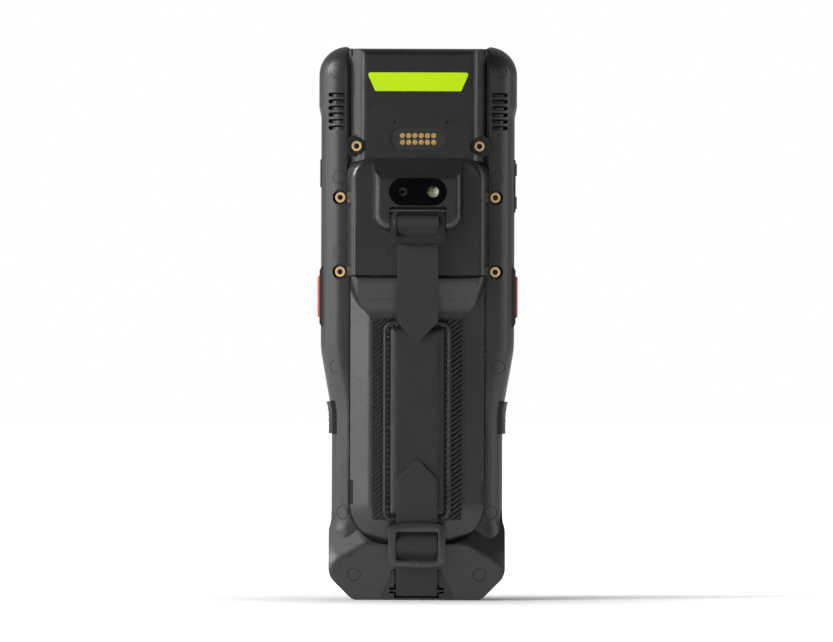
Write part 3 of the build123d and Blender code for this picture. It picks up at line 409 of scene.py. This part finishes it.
screw_steel = metal("screw_steel", (0.35, 0.35, 0.36), (0.22, 0.22, 0.23), 0.35)
dress(["housing_screws"], screw_steel)
pin_black = metal("pin_black", (0.060, 0.060, 0.062), (0.035, 0.035, 0.036), 0.35)
dress(["strap_pin", "anchor_pin"], pin_black)
shield_tin = metal("shield_tin", (0.62, 0.62, 0.61), (0.45, 0.45, 0.44), 0.3)
dress(["shield_cans"], shield_tin)
switch_steel = metal("switch_steel", (0.42, 0.42, 0.42), (0.28, 0.28, 0.28), 0.35)
dress(["side_switches", "earpiece_mesh"], switch_steel)

# ------------------------------------------------------------------ camera and flash
# Black printed glass with two clear eyes: a small camera lens in its barrel, and a warm white
# flash lens with moulded rings and facets.

LENS_X = 5.5 * MM
EYE_Z = 148.7 * MM
EYE_RADIUS = 2.1 * MM
EYE_CLEAR, PRINT_EDGE = 0.12, 0.05 * MM
BARREL_RADIUS, BARREL_WIDTH = 1.15 * MM, 0.9 * MM
RINGS_PER_METRE, FACETS_PER_METRE = 520.0, 620.0
# Smears on a glass, to the metre, and their detail.
WINDOW_SMEARS = (260.0, 5.0)

eye_glass, tree, shader = start_material("eye_glass")
place = object_place(tree)
reach = reach_from(tree, vector_node(tree, "ABSOLUTE", place), LENS_X, EYE_Z)
printed = map_range(tree, reach, (EYE_RADIUS, EYE_RADIUS + PRINT_EDGE), (EYE_CLEAR, 1.0))
tree.links.new(printed, shader.inputs["Alpha"])
smear = noise(tree, place, *WINDOW_SMEARS)
spread_roughness(tree, shader, smear, 0.02, 0.10)
tint(tree, shader, smear, (0.0018, 0.0018, 0.0020), (0.0030, 0.0030, 0.0032))
shader.inputs["Specular IOR Level"].default_value = 0.2
dress(["camera_window"], eye_glass)

flash_warm, tree, shader = start_material("flash_warm")
centred = mapped(tree, object_place(tree), Location=(-LENS_X, 0, -EYE_Z))
rings = tree.nodes.new("ShaderNodeTexWave")
rings.wave_type = "RINGS"
rings.rings_direction = "Y"
rings.inputs["Scale"].default_value = RINGS_PER_METRE
tree.links.new(centred, rings.inputs["Vector"])
facets = tree.nodes.new("ShaderNodeTexVoronoi")
facets.inputs["Scale"].default_value = FACETS_PER_METRE
tree.links.new(centred, facets.inputs["Vector"])
shades = tree.nodes.new("ShaderNodeSeparateColor")
tree.links.new(facets.outputs["Color"], shades.inputs["Color"])
tint(tree, shader, shades.outputs["Red"], (0.95, 0.95, 0.78), (0.10, 0.13, 0.02))
spread_roughness(tree, shader, rings.outputs["Fac"], 0.12, 0.35)
shader.inputs["Specular IOR Level"].default_value = 0.3
bump(tree, shader, rings.outputs["Fac"], COARSE_PITS)
dress(["flash_lens"], flash_warm)

lens_black, tree, shader = start_material("lens_black")
reach = reach_from(tree, object_place(tree), -LENS_X, EYE_Z)
barrel = math_node(tree, "COMPARE", reach, BARREL_RADIUS, BARREL_WIDTH / 2)
tint(tree, shader, barrel, (0.0012, 0.0012, 0.0015), (0.075, 0.075, 0.078))
spread_roughness(tree, shader, barrel, 0.12, 0.4)
shader.inputs["Specular IOR Level"].default_value = 0.15
dress(["camera_module"], lens_black)

# ------------------------------------------------------------------ cradle contacts
# Twelve gold-plated contacts in a smooth black carrier; the battery's own contacts are plated in
# the same way.

contact_gold = metal("contact_gold", (0.95, 0.66, 0.27), (0.66, 0.40, 0.12), 0.26, metallic=0.85)
dress(["connector_pins", "battery_contacts"], contact_gold)
carrier_black = moulded("carrier_black", RUBBER_COLOURS, 0.36, 0.008 * MM)
dress(["connector_block"], carrier_black)

# ------------------------------------------------------------------ label plate
# Bare lime-green plate, printed and lacquered, let into the spine.

LIME_COLOURS = ((0.43, 0.69, 0.004), (0.49, 0.77, 0.005))


def coated(name, colours, roughness, pit_depth, pits_per_metre, scuffs, level=0.5, by="Cloud"):
    """Painted or spun surface on the moulded grain, coloured by its clouding or its scuffs."""
    material, tree, shader = start_material(name)
    skin = place_group(tree, grain, {"Pits per metre": pits_per_metre, "Scuffs": scuffs})
    tint(tree, shader, skin[by], *colours)
    spread_roughness(tree, shader, skin["Cloud"], *roughness)
    shader.inputs["Specular IOR Level"].default_value = level
    bump(tree, shader, skin["Height"], pit_depth)
    return material


label_lime = coated("label_lime", LIME_COLOURS, (0.30, 0.42), FINE_PITS, 1500.0, 0.3, level=0.3)
dress(["label_plate"], label_lime)

# ------------------------------------------------------------------ loudspeakers and inner modules
# Parts behind the grilles and inside the shell: black module cases, and green boards with a
# brick-like pattern of tracks.

MODULE_COLOURS = ((0.008, 0.008, 0.009), (0.014, 0.014, 0.015))
TRACKS_PER_METRE, TRACK_WIDTH = 260.0, 0.03
BOARD_COLOURS = {
    "Color1": (0.010, 0.075, 0.035, 1),
    "Color2": (0.014, 0.090, 0.045, 1),
    "Mortar": (0.04, 0.16, 0.08, 1),
}

module_black = moulded("module_black", MODULE_COLOURS, 0.5, COARSE_PITS)
dress(["loudspeakers", "scan_engine"], module_black)

board_green, tree, shader = start_material("board_green")
tracks = tree.nodes.new("ShaderNodeTexBrick")
tracks.inputs["Scale"].default_value = TRACKS_PER_METRE
tracks.inputs["Mortar Size"].default_value = TRACK_WIDTH
for label, colour in BOARD_COLOURS.items():
    tracks.inputs[label].default_value = colour
upright = mapped(tree, object_place(tree), Rotation=(math.radians(90), 0, 0))
tree.links.new(upright, tracks.inputs["Vector"])
tree.links.new(tracks.outputs["Color"], shader.inputs["Base Color"])
spread_roughness(tree, shader, tracks.outputs["Fac"], 0.35, 0.5)
dress(["main_board", "key_board"], board_green)

# ------------------------------------------------------------------ scan window
# Deep red filter glass in the top end, in front of the barcode imager, a little smeared.

FILTER_SMEARS = (180.0, 2.0)

scan_red, tree, shader = start_material("scan_red")
smear = noise(tree, object_place(tree), *FILTER_SMEARS)
tint(tree, shader, smear, (0.020, 0.0015, 0.002), (0.032, 0.002, 0.003))
spread_roughness(tree, shader, smear, 0.03, 0.10)
shader.inputs["Coat Weight"].default_value = 0.5
dress(["scan_window"], scan_red)

# ------------------------------------------------------------------ side keys and latches
# Red scan keys in dark frames, flat black keys, and ribbed battery latches, all in fine-grained
# plastic. The keypad's own scan key is red too.

KEY_RED_COLOURS = ((0.42, 0.052, 0.046), (0.52, 0.066, 0.058))
FRAME_COLOURS = ((0.012, 0.012, 0.013), (0.018, 0.018, 0.019))
LATCH_COLOURS = ((0.009, 0.009, 0.010), (0.014, 0.014, 0.015))

key_red = moulded("key_red", KEY_RED_COLOURS, 0.42, MID_PITS)
dress(["scan_key_right", "scan_key_left", "key_scan"], key_red)
frame_black = moulded("frame_black", FRAME_COLOURS, 0.38, MID_PITS)
dress(["side_key_frames", "volume_key", "power_key"], frame_black)
latch_black = moulded("latch_black", LATCH_COLOURS, 0.40, MID_PITS, level=0.3)
dress(["cover_latch_right", "cover_latch_left"], latch_black)

# ------------------------------------------------------------------ battery pack
# Cover in the housing's plastic, and behind it a black tray with a foil-wrapped cell.

cover_black = moulded("cover_black", HOUSING_COLOURS, 0.27, FINE_PITS, scuffs=0.2)
dress(["battery_cover"], cover_black)
dress(["battery_case"], module_black)
cell_foil = metal("cell_foil", (0.58, 0.60, 0.63), (0.45, 0.47, 0.50), 0.38)
dress(["battery_cells"], cell_foil)

# ------------------------------------------------------------------ grip ribs
# Thin ribs that run slantwise over the cover's sunk floor, moulded in one with it. They are made
# as a tall stack that is cut off at the floor's four edges.

RIB_ANGLE = math.radians(36)
RIB_PITCH = 1.8 * MM
RIB_WIDTH = 0.85 * MM
RIB_HEIGHT = 0.9 * MM
RIB_SUNK = 0.1 * MM
RIB_ROUND = 0.3 * MM
RIB_HALF = 16.15 * MM
RIB_LOW, RIB_HIGH = 29.4 * MM, 102.5 * MM
FLOOR_Y = -8.2 * MM
# A point on each edge of the sunk floor, and the direction away from it.
RIB_CUTS = [((RIB_HALF, 0, 0), (1, 0, 0)), ((-RIB_HALF, 0, 0), (-1, 0, 0)),
            ((0, 0, RIB_HIGH), (0, 0, 1)), ((0, 0, RIB_LOW), (0, 0, -1))]


def edit_mesh(action="SELECT"):
    """Enter edit mode with the whole mesh selected, or with nothing selected."""
    bpy.ops.object.mode_set(mode="EDIT")
    bpy.ops.mesh.select_all(action=action)


rib_length = 2 * RIB_HALF / math.cos(RIB_ANGLE) + 2 * RIB_WIDTH
rib_climb = 2 * RIB_HALF * math.tan(RIB_ANGLE)
rib_count = int((RIB_HIGH - RIB_LOW + rib_climb) / RIB_PITCH) + 2
bpy.ops.mesh.primitive_cube_add(size=1)
ribs = bpy.context.object
ribs.name = "cover_ribs"
ribs.scale = (rib_length, RIB_HEIGHT + RIB_SUNK, RIB_WIDTH)
bpy.ops.object.transform_apply(location=False, rotation=False, scale=True)
edit_mesh("DESELECT")
bpy.ops.object.mode_set(mode="OBJECT")
for edge in ribs.data.edges:
    ends = [ribs.data.vertices[index].co for index in edge.vertices]
    edge.select = all(end.y < 0 for end in ends) and abs(ends[0].x - ends[1].x) > RIB_WIDTH
bpy.ops.object.mode_set(mode="EDIT")
bpy.ops.mesh.bevel(offset=RIB_ROUND, segments=3, affect="EDGES")
bpy.ops.object.mode_set(mode="OBJECT")
ribs.rotation_euler = (0, -RIB_ANGLE, 0)
ribs.location = (0, FLOOR_Y + (RIB_SUNK - RIB_HEIGHT) / 2, RIB_LOW - rib_climb / 2)
bpy.ops.object.transform_apply(location=True, rotation=True, scale=True)
row = ribs.modifiers.new("rows", "ARRAY")
row.use_relative_offset = False
row.use_constant_offset = True
row.constant_offset_displace = (0, 0, RIB_PITCH)
row.count = rib_count
bpy.ops.object.modifier_apply(modifier="rows")
for point, away in RIB_CUTS:
    edit_mesh()
    bpy.ops.mesh.bisect(plane_co=point, plane_no=away, use_fill=True, clear_outer=True)
    bpy.ops.object.mode_set(mode="OBJECT")
bpy.ops.object.shade_smooth_by_angle(angle=math.radians(35))
ribs.data.materials.append(cover_black)
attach(ribs, "battery")

# ------------------------------------------------------------------ screen
# Bonded touch glass, black where it is printed and a shade lighter over the unlit display.

SCREEN_HALF = Vector((27.0, 46.8)) * MM
SCREEN_Z = 141.5 * MM
SCREEN_SMEARS = (60.0, 6.0)

screen_glass, tree, shader = start_material("screen_glass")
place = object_place(tree)
axes = split_axes(tree, place)
across = math_node(tree, "COMPARE", axes["X"], 0.0, SCREEN_HALF.x)
along = math_node(tree, "COMPARE", axes["Z"], SCREEN_Z, SCREEN_HALF.y)
display_area = math_node(tree, "MULTIPLY", across, along)
tint(tree, shader, display_area, (0.0022, 0.0022, 0.0025), (0.0050, 0.0052, 0.0060))
spread_roughness(tree, shader, noise(tree, place, *SCREEN_SMEARS), 0.02, 0.14)
dress(["touch_glass", "display_module"], screen_glass)

# ------------------------------------------------------------------ keypad
# Moulded silicone keys with light printed legends: digits, arrows, dashes and a ring on the scan
# key.

LEGEND_THICK = 0.04 * MM
LEGEND_TOP = 17.02 * MM
DIGIT_SIZE = 5.2 * MM
ARROW_SIZE = 1.9 * MM
DASH_LENGTH, DASH_WIDTH = 5.0 * MM, 0.7 * MM
RING_RADIUS, RING_LINE = 3.2 * MM, 0.7 * MM
LEGENDS = {f"key_{n}": str(n) for n in range(10)}
LEGENDS.update({"key_star": "*", "key_hash": "#"})
# Turn of each arrow in degrees.
ARROWS = {"key_up": 0, "key_left": 90, "key_down": 180, "key_right": 270}
KEY_COLOURS = ((0.045, 0.045, 0.048), (0.06, 0.06, 0.063))
LEGEND_COLOURS = ((0.62, 0.62, 0.60), (0.70, 0.70, 0.68))

key_grey = moulded("key_grey", KEY_COLOURS, 0.5, COARSE_PITS)
dress([name for name in nodes if name.startswith("key_") and name not in ("key_scan", "key_board")],
      key_grey)
legend_white = moulded("legend_white", LEGEND_COLOURS, 0.5, FINE_PITS)


def place_legend(legend, key):
    """Bring a flat legend, made on the XY plane, onto a key cap and fix it there."""
    low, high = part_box(key)
    legend.name = "legend_" + key
    legend.rotation_euler = (math.radians(90), 0, math.radians(180))
    legend.location = ((low.x + high.x) / 2, LEGEND_TOP - LEGEND_THICK / 2, (low.z + high.z) / 2)
    bpy.ops.object.transform_apply(location=True, rotation=True, scale=True)
    legend.data.materials.clear()
    legend.data.materials.append(legend_white)
    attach(legend, key)


for key, mark in LEGENDS.items():
    bpy.ops.object.text_add()
    legend = bpy.context.object
    legend.data.body = mark
    legend.data.size = DIGIT_SIZE
    legend.data.align_x = "CENTER"
    legend.data.align_y = "CENTER"
    legend.data.extrude = LEGEND_THICK / 2
    bpy.ops.object.convert(target="MESH")
    place_legend(legend, key)

for key, turn in ARROWS.items():
    bpy.ops.mesh.primitive_cylinder_add(vertices=3, radius=ARROW_SIZE, depth=LEGEND_THICK)
    arrow = bpy.context.object
    arrow.rotation_euler = (0, 0, math.radians(turn))
    bpy.ops.object.transform_apply(location=True, rotation=True, scale=True)
    place_legend(arrow, key)

for key in ("key_back", "key_enter"):
    bpy.ops.mesh.primitive_cube_add(size=1)
    dash = bpy.context.object
    dash.scale = (DASH_LENGTH, DASH_WIDTH, LEGEND_THICK)
    bpy.ops.object.transform_apply(location=False, rotation=False, scale=True)
    place_legend(dash, key)

bpy.ops.mesh.primitive_torus_add(major_radius=RING_RADIUS, minor_radius=RING_LINE / 2,
                                 major_segments=48, minor_segments=8)
ring = bpy.context.object
ring.scale = (1, 1, LEGEND_THICK / RING_LINE)
bpy.ops.object.transform_apply(location=False, rotation=False, scale=True)
place_legend(ring, "key_scan")

# ------------------------------------------------------------------ strap buckles
# Zinc-cast buckle frames with a black satin paint, a little worn to the metal. Each is a copy of
# its CAD piece with rounded edges.

BUCKLE_COLOURS = ((0.022, 0.022, 0.023), (0.10, 0.10, 0.10))
BUCKLE_ROUND = 0.55 * MM
BUCKLE_WELD = 0.005 * MM
# Faces that meet flatter than the first angle are merged; edges sharper than the second are
# rounded; edges sharper than the third stay sharp in the shading.
MERGE_ANGLE, ROUND_ANGLE, SHADE_ANGLE = math.radians(2), math.radians(50), math.radians(40)

buckle_paint = coated("buckle_paint", BUCKLE_COLOURS, (0.24, 0.34), MID_PITS, 3500.0, 1.0,
                      by="Scuff")
dress(["strap_buckle_upper", "strap_buckle_lower"], buckle_paint)

for node in ("strap_buckle_upper", "strap_buckle_lower"):
    cast = bpy.data.objects.new(node.replace("strap_", "cast_"), nodes[node].data.copy())
    bpy.context.scene.collection.objects.link(cast)
    bpy.ops.object.select_all(action="DESELECT")
    bpy.context.view_layer.objects.active = cast
    cast.select_set(True)
    edit_mesh()
    bpy.ops.mesh.remove_doubles(threshold=BUCKLE_WELD)
    bpy.ops.mesh.dissolve_limited(angle_limit=MERGE_ANGLE)
    bpy.ops.object.mode_set(mode="OBJECT")
    edges = cast.modifiers.new("rounded_edges", "BEVEL")
    edges.width = BUCKLE_ROUND
    edges.segments = 4
    edges.limit_method = "ANGLE"
    edges.angle_limit = ROUND_ANGLE
    bpy.ops.object.modifier_apply(modifier="rounded_edges")
    bpy.ops.object.shade_smooth_by_angle(angle=SHADE_ANGLE)
    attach(cast, "strap")
    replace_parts(cast, node)

# ------------------------------------------------------------------ strap webbing
# Flat nylon webbing, 15 mm wide, doubled round each buckle and sewn back; its pointed ends lie on
# the pad.

WEB_WIDTH = 15.0 * MM
WEB_THICK = 1.15 * MM
WEB_STEP = 0.6 * MM
WEB_COLUMNS = 10
WEB_WELD = 0.01 * MM
SELVEDGE_ROUND = 0.3 * MM
TAB_LENGTH, TIP_LENGTH = 6.8 * MM, 1.2 * MM
# Share of the full width at the end of the round tip, and over which the shoulder is rounded.
TIP_SHARE, SHOULDER_SHARE = 0.28, 0.08
# Each route as y and z in millimetres, from the pointed end to the sewn-back end.
UPPER_ROUTE = [
    (-16.4, 94.6), (-16.4, 98.0), (-16.35, 101.5), (-15.95, 106.0), (-15.2, 115.0),
    (-14.4, 125.0), (-13.9, 130.0), (-13.75, 133.0), (-14.3, 135.3), (-15.35, 137.0),
    (-15.3, 138.7), (-13.9, 139.6), (-12.5, 138.8), (-12.15, 136.5), (-12.05, 132.0),
    (-12.05, 127.5),
]
LOWER_ROUTE = [
    (-16.4, 50.8), (-16.4, 45.0), (-16.35, 39.0), (-15.6, 34.0), (-14.65, 29.4), (-14.1, 26.2),
    (-14.5, 23.9), (-15.75, 21.9), (-16.15, 19.9), (-15.75, 17.9), (-14.5, 15.9), (-13.8, 12.6),
    (-11.2, 7.6), (-7.9, 3.2), (-6.6, 2.05), (-4.9, 2.2), (-4.1, 3.7), (-4.75, 5.2), (-6.6, 5.95),
    (-9.0, 7.5), (-11.1, 10.0),
]
YARNS_ACROSS, PICKS_PER_METRE, WEAVE_DEPTH = 22.0, 1500.0, 0.06 * MM

weave, weave_in, weave_out = start_group(
    "woven_band", {"Yarns across": YARNS_ACROSS, "Picks per metre": PICKS_PER_METRE}, ["Height"])
band_sides = split_axes(weave, weave.nodes.new("ShaderNodeUVMap").outputs["UV"])
waves = []
for axis, label in (("X", "Yarns across"), ("Y", "Picks per metre")):
    turns = math_node(weave, "MULTIPLY", band_sides[axis], weave_in[label])
    angle = math_node(weave, "MULTIPLY", turns, 2 * math.pi)
    waves.append(math_node(weave, "SINE", angle))
crossings = math_node(weave, "MULTIPLY", *waves)
weave.links.new(math_node(weave, "MULTIPLY_ADD", crossings, 0.5, 0.5), weave_out["Height"])

webbing_black, tree, shader = start_material("webbing_black")
yarn_height_and_shade = place_group(tree, weave, {})["Height"]
# Painted shade: the weave's height also tints it, darker between the yarns, lighter on their
# crowns.
tint(tree, shader, yarn_height_and_shade, (0.015, 0.015, 0.016), (0.024, 0.024, 0.025))
spread_roughness(tree, shader, yarn_height_and_shade, 0.55, 0.70)
shader.inputs["Specular IOR Level"].default_value = 0.3
bump(tree, shader, yarn_height_and_shade, WEAVE_DEPTH)


def smooth_route(points):
    """Evenly spaced places, each with its run, along a smooth curve through (y, z) points."""
    data = bpy.data.curves.new("route", "CURVE")
    data.dimensions = "3D"
    data.resolution_u = 24
    spline = data.splines.new("BEZIER")
    spline.bezier_points.add(len(points) - 1)
    for knot, (y, z) in zip(spline.bezier_points, points):
        knot.co = (0, y * MM, z * MM)
        knot.handle_left_type = "AUTO"
        knot.handle_right_type = "AUTO"
    holder = bpy.data.objects.new("route", data)
    bpy.context.scene.collection.objects.link(holder)
    bpy.context.view_layer.update()
    line = bpy.data.meshes.new_from_object(holder)
    places = [vertex.co.copy() for vertex in line.vertices]
    bpy.data.objects.remove(holder)
    runs = [0.0]
    for start, end in zip(places, places[1:]):
        runs.append(runs[-1] + (end - start).length)
    count = int(runs[-1] / WEB_STEP)
    stops, index = [], 0
    for n in range(count + 1):
        run = runs[-1] * n / count
        while index < len(runs) - 2 and runs[index + 1] < run:
            index += 1
        share = (run - runs[index]) / (runs[index + 1] - runs[index])
        stops.append((places[index].lerp(places[index + 1], share), run))
    return stops


def tab_width(run):
    """Share of the full width at a distance from the tab's rounded point."""
    if run < TIP_LENGTH:
        return TIP_SHARE * math.sqrt(1 - (1 - run / TIP_LENGTH) ** 2)
    slant = TIP_SHARE + (1 - TIP_SHARE) * (run - TIP_LENGTH) / (TAB_LENGTH - TIP_LENGTH)
    over = max(0.0, slant - 1 + SHOULDER_SHARE) / (2 * SHOULDER_SHARE)
    return slant - SHOULDER_SHARE * over ** 2 if over < 1 else 1.0


def webbing(name, route):
    """One length of webbing: a strip laid along the route, given thickness and soft selvedges."""
    stops = smooth_route(route)
    last = len(stops) - 1
    bpy.ops.mesh.primitive_grid_add(
        x_subdivisions=WEB_COLUMNS, y_subdivisions=last, size=2, calc_uvs=True)
    band = bpy.context.object
    band.name = name
    for vertex in band.data.vertices:
        place, run = stops[round((vertex.co.y + 1) / 2 * last)]
        vertex.co = (vertex.co.x * WEB_WIDTH / 2 * tab_width(run), place.y, place.z)
    for loop in band.data.loops:
        uv = band.data.uv_layers.active.data[loop.index]
        run = stops[round(uv.uv.y * last)][1]
        uv.uv = (band.data.vertices[loop.vertex_index].co.x / WEB_WIDTH + 0.5, run)
    wall = band.modifiers.new("wall", "SOLIDIFY")
    wall.thickness = WEB_THICK
    wall.offset = 0
    bpy.ops.object.modifier_apply(modifier="wall")
    selvedge = band.modifiers.new("selvedge", "BEVEL")
    selvedge.width = SELVEDGE_ROUND
    selvedge.segments = 3
    selvedge.limit_method = "ANGLE"
    selvedge.angle_limit = math.radians(60)
    bpy.ops.object.modifier_apply(modifier="selvedge")
    edit_mesh()
    bpy.ops.mesh.remove_doubles(threshold=WEB_WELD)
    bpy.ops.mesh.normals_make_consistent(inside=False)
    bpy.ops.object.mode_set(mode="OBJECT")
    bpy.ops.object.shade_smooth_by_angle(angle=math.radians(50))
    band.data.materials.append(webbing_black)
    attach(band, "strap")
    return band


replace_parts(webbing("webbing_upper", UPPER_ROUTE), "strap_webbing")
webbing("webbing_lower", LOWER_ROUTE)

# ------------------------------------------------------------------ strap pad
# Leather panel drawn over a foam core, on a flat bound border, with one row of stitches round it.
# Between the stitches the leather puffs up a little.

PAD_HALF = Vector((12.45, 36.7)) * MM
PAD_MIDDLE_Z = 65.25 * MM
PAD_CORNER = 4.0 * MM
PAD_COLUMNS, PAD_ROWS = 110, 330
# The pad's flat back, the border's face and the dome's top, and how far in the dome starts and
# how wide its rounded flank is.
PAD_BACK_Y, BORDER_Y, DOME_Y = -13.4 * MM, -14.35 * MM, -15.72 * MM
BORDER_WIDTH, DOME_FLANK = 2.6 * MM, 3.0 * MM
RIM_WIDTH, RIM_TUCK = 0.6 * MM, 0.45 * MM
BINDING_RISE, BINDING_INSET, BINDING_WIDTH = 0.45 * MM, 0.85 * MM, 0.55 * MM
SEAM_DEPTH, SEAM_WIDTH = 0.1 * MM, 0.4 * MM
STITCH_INSET = 2.05 * MM
GATHER_RISE = 0.7 * MM
STITCH_LENGTH, STITCH_PITCH, STITCH_RADIUS = 1.25 * MM, 2.05 * MM, 0.34 * MM
CREASES_PER_METRE, CREASE_WIDTH, CREASE_DEPTH = 1500.0, 0.12, 0.04 * MM
HIDE_CLOUDS = (120.0, 5.0)
THREAD_COLOURS = ((0.003, 0.003, 0.003), (0.006, 0.006, 0.006))

pad_leather, tree, shader = start_material("pad_leather")
place = object_place(tree)
cells = tree.nodes.new("ShaderNodeTexVoronoi")
cells.feature = "DISTANCE_TO_EDGE"
cells.inputs["Scale"].default_value = CREASES_PER_METRE
tree.links.new(place, cells.inputs["Vector"])
creases = map_range(tree, cells.outputs["Distance"], (0.0, CREASE_WIDTH))
cloud = noise(tree, place, *HIDE_CLOUDS)
tint(tree, shader, cloud, (0.008, 0.008, 0.0085), (0.013, 0.013, 0.0135))
spread_roughness(tree, shader, cloud, 0.34, 0.46)
shader.inputs["Specular IOR Level"].default_value = 0.34
bump(tree, shader, creases, CREASE_DEPTH)

seam_bend = PAD_CORNER - STITCH_INSET
seam_flat = Vector((PAD_HALF.x - PAD_CORNER, PAD_HALF.y - PAD_CORNER))
# Half of the seam: a long side, a corner, a short side and the next corner.
seam_parts = [2 * seam_flat.y, seam_bend * math.pi / 2, 2 * seam_flat.x, seam_bend * math.pi / 2]
seam_length = 2 * sum(seam_parts)
stitch_count = 2 * round(seam_length / STITCH_PITCH / 2)
stitch_step = seam_length / stitch_count


def bell(distance, width):
    """Smooth hump, 1 in its middle."""
    return math.exp(-(distance / width) ** 2)


def gather(x, z, inset):
    """How far the leather puffs up between two stitches at a place on the pad."""
    if abs(x) > seam_flat.x:
        run = seam_flat.y + math.copysign(1, x) * z
    else:
        run = sum(seam_parts[:2]) + seam_flat.x - math.copysign(1, z) * x
    wave = 0.5 + 0.5 * math.cos(2 * math.pi * run / stitch_step)
    return GATHER_RISE * wave ** 2 * bell(inset - STITCH_INSET, SEAM_WIDTH)


bpy.ops.mesh.primitive_grid_add(x_subdivisions=PAD_COLUMNS, y_subdivisions=PAD_ROWS, size=2)
pad = bpy.context.object
pad.name = "pad"
for vertex in pad.data.vertices:
    x, z = vertex.co.x * PAD_HALF.x, vertex.co.y * PAD_HALF.y
    corner = Vector((max(0, abs(x) - seam_flat.x), max(0, abs(z) - seam_flat.y)))
    square = max(corner)
    if min(corner) > 0:
        # The grid's square corner is drawn in to a round one.
        shrink = square / corner.length
        x = math.copysign(abs(x) - corner.x * (1 - shrink), x)
        z = math.copysign(abs(z) - corner.y * (1 - shrink), z)
    inset = PAD_CORNER - square
    if square == 0:
        inset = min(PAD_HALF.x - abs(x), PAD_HALF.y - abs(z))
    rise = min(1.0, max(0.0, (inset - BORDER_WIDTH) / DOME_FLANK))
    swell = math.sqrt(1 - (1 - rise) ** 2)
    seam = bell(inset - STITCH_INSET, SEAM_WIDTH)
    binding = bell(inset - BINDING_INSET, BINDING_WIDTH)
    rim = max(0.0, 1 - inset / RIM_WIDTH)
    y = BORDER_Y + (DOME_Y - BORDER_Y) * swell + SEAM_DEPTH * seam + RIM_TUCK * rim ** 2
    y -= BINDING_RISE * binding + gather(x, z, inset)
    vertex.co = (x, y, z + PAD_MIDDLE_Z)
edit_mesh()
bpy.ops.mesh.extrude_region_move(TRANSFORM_OT_translate={"value": (0, 0, 0)})
bpy.ops.transform.resize(value=(1, 0, 1), center_override=(0, PAD_BACK_Y, PAD_MIDDLE_Z))
bpy.ops.mesh.select_all(action="SELECT")
bpy.ops.mesh.normals_make_consistent(inside=False)
bpy.ops.object.mode_set(mode="OBJECT")
bpy.ops.object.shade_smooth_by_angle(angle=math.radians(50))
pad.data.materials.append(pad_leather)
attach(pad, "strap")
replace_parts(pad, "strap_pad")

thread_black = coated("thread_black", THREAD_COLOURS, (0.45, 0.6), 0.03 * MM, 6000.0, 0.2,
                      level=0.15)


def seam_place(run):
    """Place (x, z) and direction on the rounded stitch line, a quarter of it per corner."""
    first, second, third, half = (sum(seam_parts[:n]) for n in (1, 2, 3, 4))
    side, run = (1, run) if run < half else (-1, run - half)
    if run < first:
        turn = 0.0
        spot = Vector((seam_flat.x + seam_bend, run - seam_flat.y))
    elif run < second:
        turn = (run - first) / seam_bend
        spot = seam_flat + seam_bend * Vector((math.cos(turn), math.sin(turn)))
    elif run < third:
        turn = math.pi / 2
        spot = Vector((seam_flat.x - (run - second), seam_flat.y + seam_bend))
    else:
        turn = math.pi / 2 + (run - third) / seam_bend
        spot = Vector((-seam_flat.x, seam_flat.y))
        spot += seam_bend * Vector((math.cos(turn), math.sin(turn)))
    return side * spot, turn


bpy.ops.object.select_all(action="DESELECT")
stitches = []
for n in range(stitch_count):
    spot, turn = seam_place(stitch_step * (n + 0.5))
    bpy.ops.mesh.primitive_uv_sphere_add(segments=10, ring_count=8, radius=1)
    stitch = bpy.context.object
    stitch.scale = (STITCH_RADIUS, STITCH_RADIUS, STITCH_LENGTH / 2)
    stitch.rotation_euler = (0, -turn, 0)
    stitch.location = (spot.x, BORDER_Y + SEAM_DEPTH - STITCH_RADIUS / 2, PAD_MIDDLE_Z + spot.y)
    stitches.append(stitch)
for stitch in stitches:
    stitch.select_set(True)
bpy.ops.object.join()
stitching = bpy.context.object
stitching.name = "pad_stitching"
bpy.ops.object.transform_apply(location=True, rotation=True, scale=True)
bpy.ops.object.shade_smooth()
stitching.data.materials.append(thread_black)
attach(stitching, "strap")
